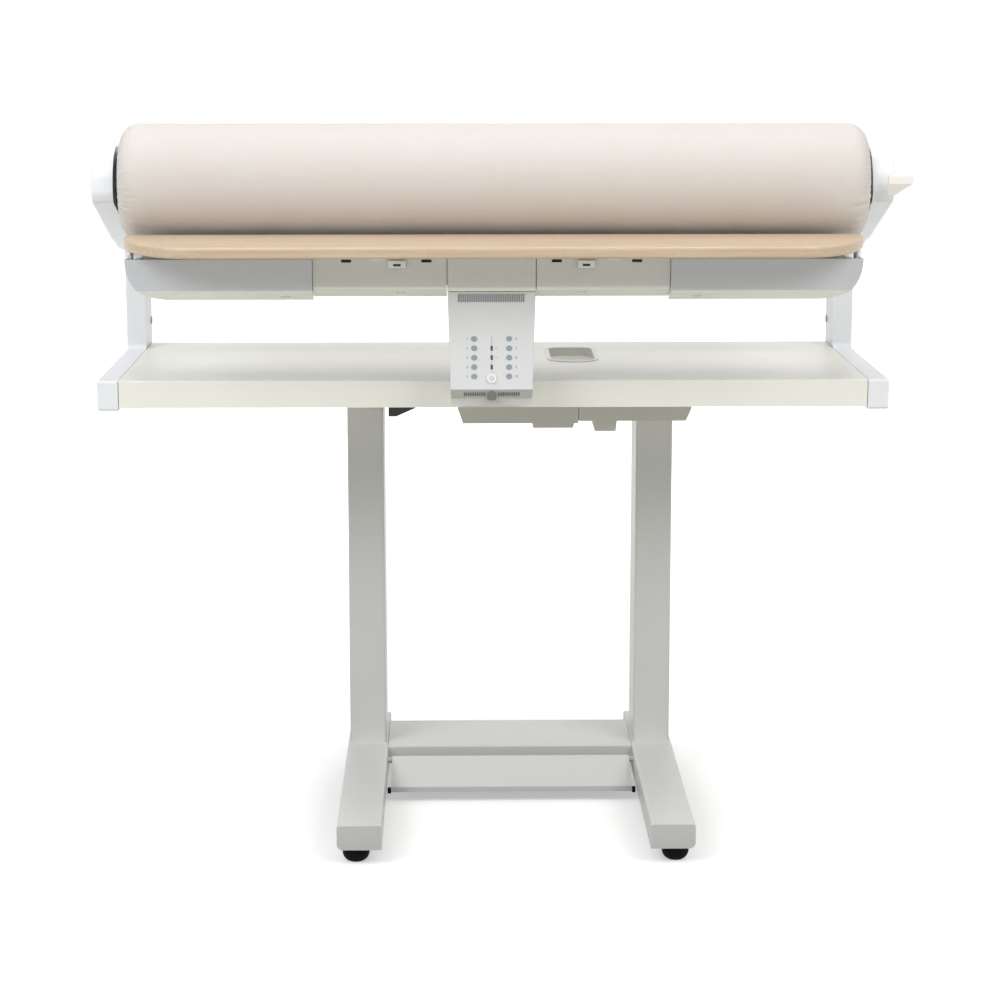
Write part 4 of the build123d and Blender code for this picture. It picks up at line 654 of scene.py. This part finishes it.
def buildHem(band, hand):
    face = rollerAxis.x + coverCut["shove"] + hand * (coverCut["half"] + band["stand"])
    clearSelection()
    bpy.ops.mesh.primitive_torus_add(
        major_segments=band["ridges"] * band["ridgeSteps"], minor_segments=band["roundSteps"],
        major_radius=band["ring"], minor_radius=band["thick"],
        location=(face, rollerAxis.y, rollerAxis.z), rotation=(0, math.pi / 2, 0),
    )
    hem = fresh("cover_hem_" + ("right" if hand > 0 else "left"))
    bakeIn(hem)
    rel = np.array([v.co for v in hem.data.vertices], float) - np.array([face, rollerAxis.y, rollerAxis.z])
    out = np.hypot(rel[:, 1], rel[:, 2])
    turn = np.arctan2(rel[:, 1], rel[:, 2])
    # neighbouring ridges wander and swell unevenly
    (slow, slowWaves), (quick, quickWaves) = band["wander"]
    wander = slow * np.sin(turn * slowWaves + hand) + quick * np.sin(turn * quickWaves + 2)
    mean, sway, waves = band["swell"]
    uneven = mean + sway * np.sin(turn * waves)
    swell = band["ridgeHeight"] * np.sin(turn * band["ridges"] + wander) * uneven
    tube = np.stack([rel[:, 0], out - band["ring"]], axis=1)
    tube *= (1 + swell / band["thick"])[:, None]
    scale = (band["ring"] + tube[:, 1]) / out
    for vertex, x, y, z in zip(hem.data.vertices, tube[:, 0], rel[:, 1] * scale, rel[:, 2] * scale):
        vertex.co = (face + x, rollerAxis.y + y, rollerAxis.z + z)
    closeUp(hem, 60)
    dress(hem, hemElasticAndGapShade, "roller")


for hand in (-1, 1):
    buildHem(hemBand, hand)
print("hems done")


# ---- moulded clips under the board, each with a finger slot painted dark inside as shade

clipShape = {
    "width": 0.0232, "height": 0.0098, "depth": 0.0052, "round": 0.0022, "roundSteps": 4,
    "rim": 0.0009, "rimSteps": 3,
    "rise": 0.0002,                   # its top stands this far above that of the solids
    "slot": (0.0098, 0.0032), "slotDrop": 0.0022, "slotDepth": 0.0036,
    "span": 0.0230,                   # width of one clip of the solids
    # painted shade: the inside of the slot is painted dark from this far behind the front and this far below
    # the top
    "shadeBack": 0.0011,               # the slot is dark from this far behind the front
    "shadeDrop": 0.0040,               # and from this far below the top
}


def roundRim(piece, offset, steps, test):
    pickEdges(piece, test)
    bpy.ops.mesh.bevel(offset=offset, segments=steps, affect="EDGES")
    bpy.ops.object.mode_set(mode="OBJECT")


def buildClip(shape, name, low, high):
    middle = (low.x + high.x) / 2
    front = high.y - shape["depth"]
    top = high.z + shape["rise"]
    half = top - shape["height"] / 2
    sizes = (shape["width"], shape["depth"], shape["height"])
    clip = block(name, (middle, high.y - shape["depth"] / 2, half), sizes)
    # the two lower corners are round, and so is the front rim
    roundRim(clip, shape["round"], shape["roundSteps"], lambda a, b: runsBack(a, b) and a.z < half)
    roundRim(clip, shape["rim"], shape["rimSteps"], lambda a, b: liesAt(a, b, front))
    wide, tall = shape["slot"]
    slotHeight = top - shape["height"] + shape["slotDrop"] + tall / 2
    cutter = block("slotCutter", (middle, front, slotHeight), (wide, shape["slotDepth"] * 2, tall))
    roundRim(cutter, shape["rim"], shape["rimSteps"], runsBack)
    takeUp(clip)
    hole = clip.modifiers.new("slot", "BOOLEAN")
    hole.object = cutter
    hole.operation = "DIFFERENCE"
    hole.solver = "EXACT"
    bakeIn(clip)
    bpy.data.objects.remove(cutter)
    closeUp(clip, 40)
    return clip


clipLow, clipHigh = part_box("board_clips")
clipBoxes = {
    "left": (clipLow, Vector((clipLow[0] + clipShape["span"], clipHigh[1], clipHigh[2]))),
    "right": (Vector((clipHigh[0] - clipShape["span"], clipLow[1], clipLow[2])), clipHigh),
}
clipFinish = plastic("ClipCasing", tone(234, 235, 237), 0.28, 0.000006)
clipPlace = clipFinish.split(clipFinish.place())
clipShadeBehind = clipPlace["Y"] > clipHigh[1] - clipShape["depth"] + clipShape["shadeBack"]
clipSlotShadeMask = clipShadeBehind * (clipPlace["Z"] < clipHigh[2] - clipShape["shadeDrop"])
clipBody = Wire(clipFinish, clipFinish.shader.inputs["Base Color"].links[0].from_socket)
# the slot's inside is painted near-black, as shade in the recess
clipFinish.shade(Base_Color=clipFinish.mix(clipSlotShadeMask, clipBody, tone(28, 28, 28)))
for hand, (low, high) in clipBoxes.items():
    clip = buildClip(clipShape, "board_clip_" + hand, low, high)
    dress(clip, clipFinish, "frame")
    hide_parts("board_clips")
print("clips done")


# ---- the end brackets' tabs stop where the board's rounded corners still cover them

tabShape = {"endFrom": 0.44, "tip": -0.2140, "slope": 0.0405, "tipDepth": 0.001}


def buildBrackets(shape):
    takeUp(frame["nodes"]["board_brackets"])
    bpy.ops.object.duplicate()
    brackets = fresh("brackets")
    brackets.data = brackets.data.copy()
    brackets.data.name = "brackets"
    closeUp(brackets)
    low = min(vertex.co.y for vertex in brackets.data.vertices)
    for vertex in brackets.data.vertices:
        atEnd = abs(vertex.co.x - rollerAxis.x) > shape["endFrom"]
        if atEnd and vertex.co.y < low + shape["tipDepth"]:
            vertex.co.z += (shape["tip"] - vertex.co.y) * shape["slope"]
            vertex.co.y = shape["tip"]
    return brackets


dress(buildBrackets(tabShape), finishes["bracket_steel"], "frame")
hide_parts("board_brackets")
print("brackets done")


# ---- dark release latch low on the box, a small house shape

latchShape = {
    "wide": 0.0114, "wall": 0.0066, "tall": 0.0120, "back": 0.0134,
    "drop": 0.0134, "reach": 0.0014,
    "ridge": 0.04,                    # share of its width that is left at the top
    "round": 0.0005, "roundSteps": 2,
}


def buildLatch(shape):
    middle = (panelLow.x + panelHigh.x) / 2
    low = panelLow.z - shape["drop"]
    front = panelLow.y + shape["reach"]
    centre = (middle, front + shape["back"] / 2, low + shape["wall"] / 2)
    latch = block("release_latch", centre, (shape["wide"], shape["back"], shape["wall"]))
    pickFaces(latch, lambda place, normal: normal.z > 0.9)
    bpy.ops.mesh.extrude_region_move(TRANSFORM_OT_translate={"value": (0, 0, shape["tall"] - shape["wall"])})
    bpy.ops.transform.resize(value=(shape["ridge"], 1, 1), center_override=(middle, front, low))
    roundRim(latch, shape["round"], shape["roundSteps"], lambda a, b: liesAt(a, b, front))
    closeUp(latch, 40)
    return latch


dress(buildLatch(latchShape), latchGrey, "frame")
print("latch done")


# ---- print on the panel: row numbers, a fine centre line, a mark beside two of the lamps

panelPrint = {
    "face": panelLow[1] - 0.00006,
    "thick": 0.00005,
    "tall": 0.0033,
    "fontShare": 1.4,                 # size of the font for a digit one unit tall
    "fontSteps": 3,
    "numbers": 10,
    "rows": 5,
    "away": 0.0092,
    "centre": (panelLow.x + panelHigh.x) / 2,
    "line": 0.00045,
    "lineGap": 0.0008,                # the line stops this far from a lamp or a key
    "lineLeast": 0.0005,
    "lampTall": 0.0062,
    "markAway": 0.0060,
    "mark": (0.0036, 0.0004),
}


def printGlyph(name, words, x, z, tall):
    clearSelection()
    bpy.ops.object.text_add(location=(x, panelPrint["face"], z), rotation=(math.pi / 2, 0, 0))
    glyph = fresh(name)
    glyph.data.body = words
    glyph.data.align_x = "CENTER"
    glyph.data.align_y = "CENTER"
    glyph.data.size = tall * panelPrint["fontShare"]
    glyph.data.resolution_u = panelPrint["fontSteps"]
    bpy.ops.object.convert(target="MESH")
    glyph = bpy.context.active_object
    bpy.ops.object.transform_apply(location=True, rotation=True, scale=True)
    return glyph


def printBar(name, x, z, wide, tall):
    clearSelection()
    spot = (x, panelPrint["face"], z)
    bpy.ops.mesh.primitive_plane_add(size=1, location=spot, rotation=(math.pi / 2, 0, 0))
    bar = fresh(name)
    bar.scale = (wide, tall, 1)
    bpy.ops.object.transform_apply(location=True, rotation=True, scale=True)
    return bar


def joinPrint(pieces, thick):
    # flat print made one piece, with the thickness of the ink
    clearSelection()
    for piece in pieces:
        piece.select_set(True)
    bpy.context.view_layer.objects.active = pieces[0]
    bpy.ops.object.join()
    bpy.ops.object.mode_set(mode="EDIT")
    bpy.ops.mesh.select_all(action="SELECT")
    bpy.ops.mesh.extrude_region_move(TRANSFORM_OT_translate={"value": (0, thick, 0)})
    bpy.ops.mesh.select_all(action="SELECT")
    bpy.ops.mesh.normals_make_consistent(inside=False)
    bpy.ops.object.mode_set(mode="OBJECT")
    return bpy.context.active_object


printed = []
for number in range(1, panelPrint["numbers"] + 1):
    keyLow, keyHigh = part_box("button_%d" % number)
    middle = (keyLow + keyHigh) / 2
    x = middle.x + (-panelPrint["away"] if number <= panelPrint["rows"] else panelPrint["away"])
    printed.append(printGlyph("row_number_%d" % number, str(number), x, middle.z, panelPrint["tall"]))
lampLow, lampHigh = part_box("indicator_lenses")
lampTall = panelPrint["lampTall"]
lampPitch = (lampHigh.z - lampLow.z - lampTall) / 2
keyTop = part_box("button_1")[1].z
knobLow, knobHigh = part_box("power_button")
# the free stretches between keys, lamps and knob, from the top down
stretches = [
    (keyTop, lampHigh.z),
    (lampHigh.z - lampTall, lampHigh.z - lampPitch),
    (lampHigh.z - lampPitch - lampTall, lampLow.z + lampTall),
    (lampLow.z, knobHigh.z),
]
for upper, lower in stretches:
    upper, lower = upper - panelPrint["lineGap"], lower + panelPrint["lineGap"]
    if upper - lower > panelPrint["lineLeast"]:
        middle = (upper + lower) / 2
        bar = printBar("centre_line", panelPrint["centre"], middle, panelPrint["line"], upper - lower)
        printed.append(bar)
for row in range(2):
    x = panelPrint["centre"] + panelPrint["markAway"]
    z = lampHigh.z - lampTall / 2 - row * lampPitch
    printed.append(printBar("lamp_mark", x, z, *panelPrint["mark"]))
joinPrint(printed, panelPrint["thick"])
panelMarks = fresh("panel_marks")
dress(panelMarks, panelInk, "frame")


# the usual power sign on the white key: an open ring and a stroke
powerSign = {
    "radius": 0.0027, "line": 0.00055, "gap": 0.6, "steps": 40, "thick": 0.00005,
    "strokeRise": 0.75, "strokeTall": 1.1,        # shares of the radius
}


def buildPowerSign(sign, low, high):
    middle = (low + high) / 2
    face = low.y - sign["thick"]
    radius = sign["radius"]
    clearSelection()
    bpy.ops.mesh.primitive_circle_add(
        vertices=sign["steps"], radius=radius,
        location=(middle.x, face, middle.z), rotation=(math.pi / 2, 0, 0),
    )
    ring = fresh("power_sign")
    bpy.ops.object.transform_apply(location=True, rotation=True, scale=True)
    bpy.ops.object.mode_set(mode="EDIT")
    bpy.ops.mesh.select_all(action="SELECT")
    bpy.ops.mesh.extrude_edges_move()
    inside = 1 - sign["line"] / radius
    bpy.ops.transform.resize(value=(inside, 1, inside), center_override=(middle.x, low.y, middle.z))
    bpy.ops.object.mode_set(mode="OBJECT")

    def inGap(place, normal):
        return abs(math.atan2(place.x - middle.x, place.z - middle.z)) < sign["gap"]

    pickFaces(ring, inGap)
    bpy.ops.mesh.delete(type="FACE")
    bpy.ops.object.mode_set(mode="OBJECT")
    strokeHeight = middle.z + radius * sign["strokeRise"]
    stroke = printBar("power_stroke", middle.x, strokeHeight, sign["line"], radius * sign["strokeTall"])
    for vertex in stroke.data.vertices:
        vertex.co.y = face
    return joinPrint([ring, stroke], sign["thick"])


dress(buildPowerSign(powerSign, knobLow, knobHigh), panelInk, "power_key")
print("panel print done")


# ---- light

lightRig = {
    "ceiling": {
        "place": (-0.2, 0.5, 5.8), "size": (5.0, 4.0), "power": 162.0,
        "aim": (0.0, 0.0, 0.6), "tint": (1.0, 0.985, 0.955),
    },
    "left": {
        "place": (-2.3, -2.4, 3.0), "size": (2.4, 2.2), "power": 82.0,
        "aim": (0.0, 0.0, 0.7), "tint": (0.965, 0.985, 1.0),
    },
    "right": {
        "place": (2.3, -2.3, 3.0), "size": (2.4, 2.2), "power": 70.0,
        "aim": (0.0, 0.0, 0.7), "tint": (1.0, 0.99, 0.975),
    },
    "world": 0.26,
    "worldTint": (0.98, 0.99, 1.0, 1.0),
    # floor bounce: painted shade, darker near the machine than further out, cutting the light bounced onto
    # its low faces
    "floorBounce": {"near": tone(84, 84, 82), "far": tone(238, 238, 230), "from": 0.35, "to": 1.1},
}

for name in ("ceiling", "left", "right"):
    lamp = lightRig[name]
    data = bpy.data.lights.new(name + "Softbox", "AREA")
    data.shape = "RECTANGLE"
    data.size, data.size_y = lamp["size"]
    data.energy = lamp["power"]
    data.color = lamp["tint"]
    softbox = bpy.data.objects.new(name + "Softbox", data)
    scene.collection.objects.link(softbox)
    softbox.location = lamp["place"]
    aim = Vector(lamp["aim"]) - Vector(lamp["place"])
    softbox.rotation_euler = aim.to_track_quat("-Z", "Y").to_euler()


class StageTree(Finish):
    # the same node helpers for a tree that isn't a plain material

    def __init__(self, tree):
        self.tree = tree


def shownRays(stage):
    # camera, mirror and glass rays see the white; everything else sees the light
    rays = stage.node("ShaderNodeLightPath")
    seen = stage.maths("MAXIMUM", rays, Wire(stage, rays.socket.node.outputs["Is Glossy Ray"]))
    return stage.maths("MAXIMUM", seen, Wire(stage, rays.socket.node.outputs["Is Transmission Ray"]))


world = bpy.data.worlds.new("PaleRoom")
scene.world = world
world.use_nodes = True
world.node_tree.nodes.clear()
sky = StageTree(world.node_tree)
glow = sky.node("ShaderNodeBackground", {}, {"Color": lightRig["worldTint"], "Strength": lightRig["world"]})
white = sky.node("ShaderNodeBackground", {}, {"Color": (1.0, 1.0, 1.0, 1.0), "Strength": 1.0})
shown = sky.node("ShaderNodeMixShader", {}, {0: shownRays(sky), 1: glow, 2: white})
sky.node("ShaderNodeOutputWorld", {}, {"Surface": shown})


# ---- floor: white to the eye, a little greyer where the machine shades it

floorWhite = {
    "near": 0.42, "far": 1.0, "from": 0.9, "to": 2.6,
    "shade": (0.80, 0.80, 0.80, 1.0), "size": 16.0,
}
clearSelection()
bpy.ops.mesh.primitive_plane_add(size=floorWhite["size"], location=(0, 0, 0))
floor = fresh("studio_floor")
floorFinish = Finish("StudioFloor", Roughness=0.9, Specular_IOR_Level=0.1)
fromMiddle = {0: floorFinish.place()}
spot = floorFinish.node("ShaderNodeVectorMath", {"operation": "LENGTH"}, fromMiddle, out="Value")
fade = floorFinish.ramp(spot, floorWhite["from"], floorWhite["to"])
level = floorWhite["near"] + fade * (floorWhite["far"] - floorWhite["near"])
eyeWhite = floorFinish.node("ShaderNodeEmission", {}, {"Color": (1, 1, 1, 1), "Strength": level})
eyeShade = floorFinish.node("ShaderNodeBsdfDiffuse", {}, {"Color": floorWhite["shade"]})
eye = floorFinish.node("ShaderNodeAddShader", {}, {0: eyeWhite, 1: eyeShade})
bounce = lightRig["floorBounce"]
# painted shade: the floor bounces darker light near the middle
dullPart = floorFinish.ramp(spot, bounce["from"], bounce["to"])
dullTone = floorFinish.mix(dullPart, bounce["near"], bounce["far"])
dull = floorFinish.node("ShaderNodeBsdfDiffuse", {}, {"Color": dullTone})
mixed = floorFinish.node("ShaderNodeMixShader", {}, {0: shownRays(floorFinish), 1: dull, 2: eye})
floorFinish.feed(floorFinish.tree.nodes["Material Output"].inputs["Surface"], mixed)
floor.data.materials.append(floorFinish.material)
print("studio set")
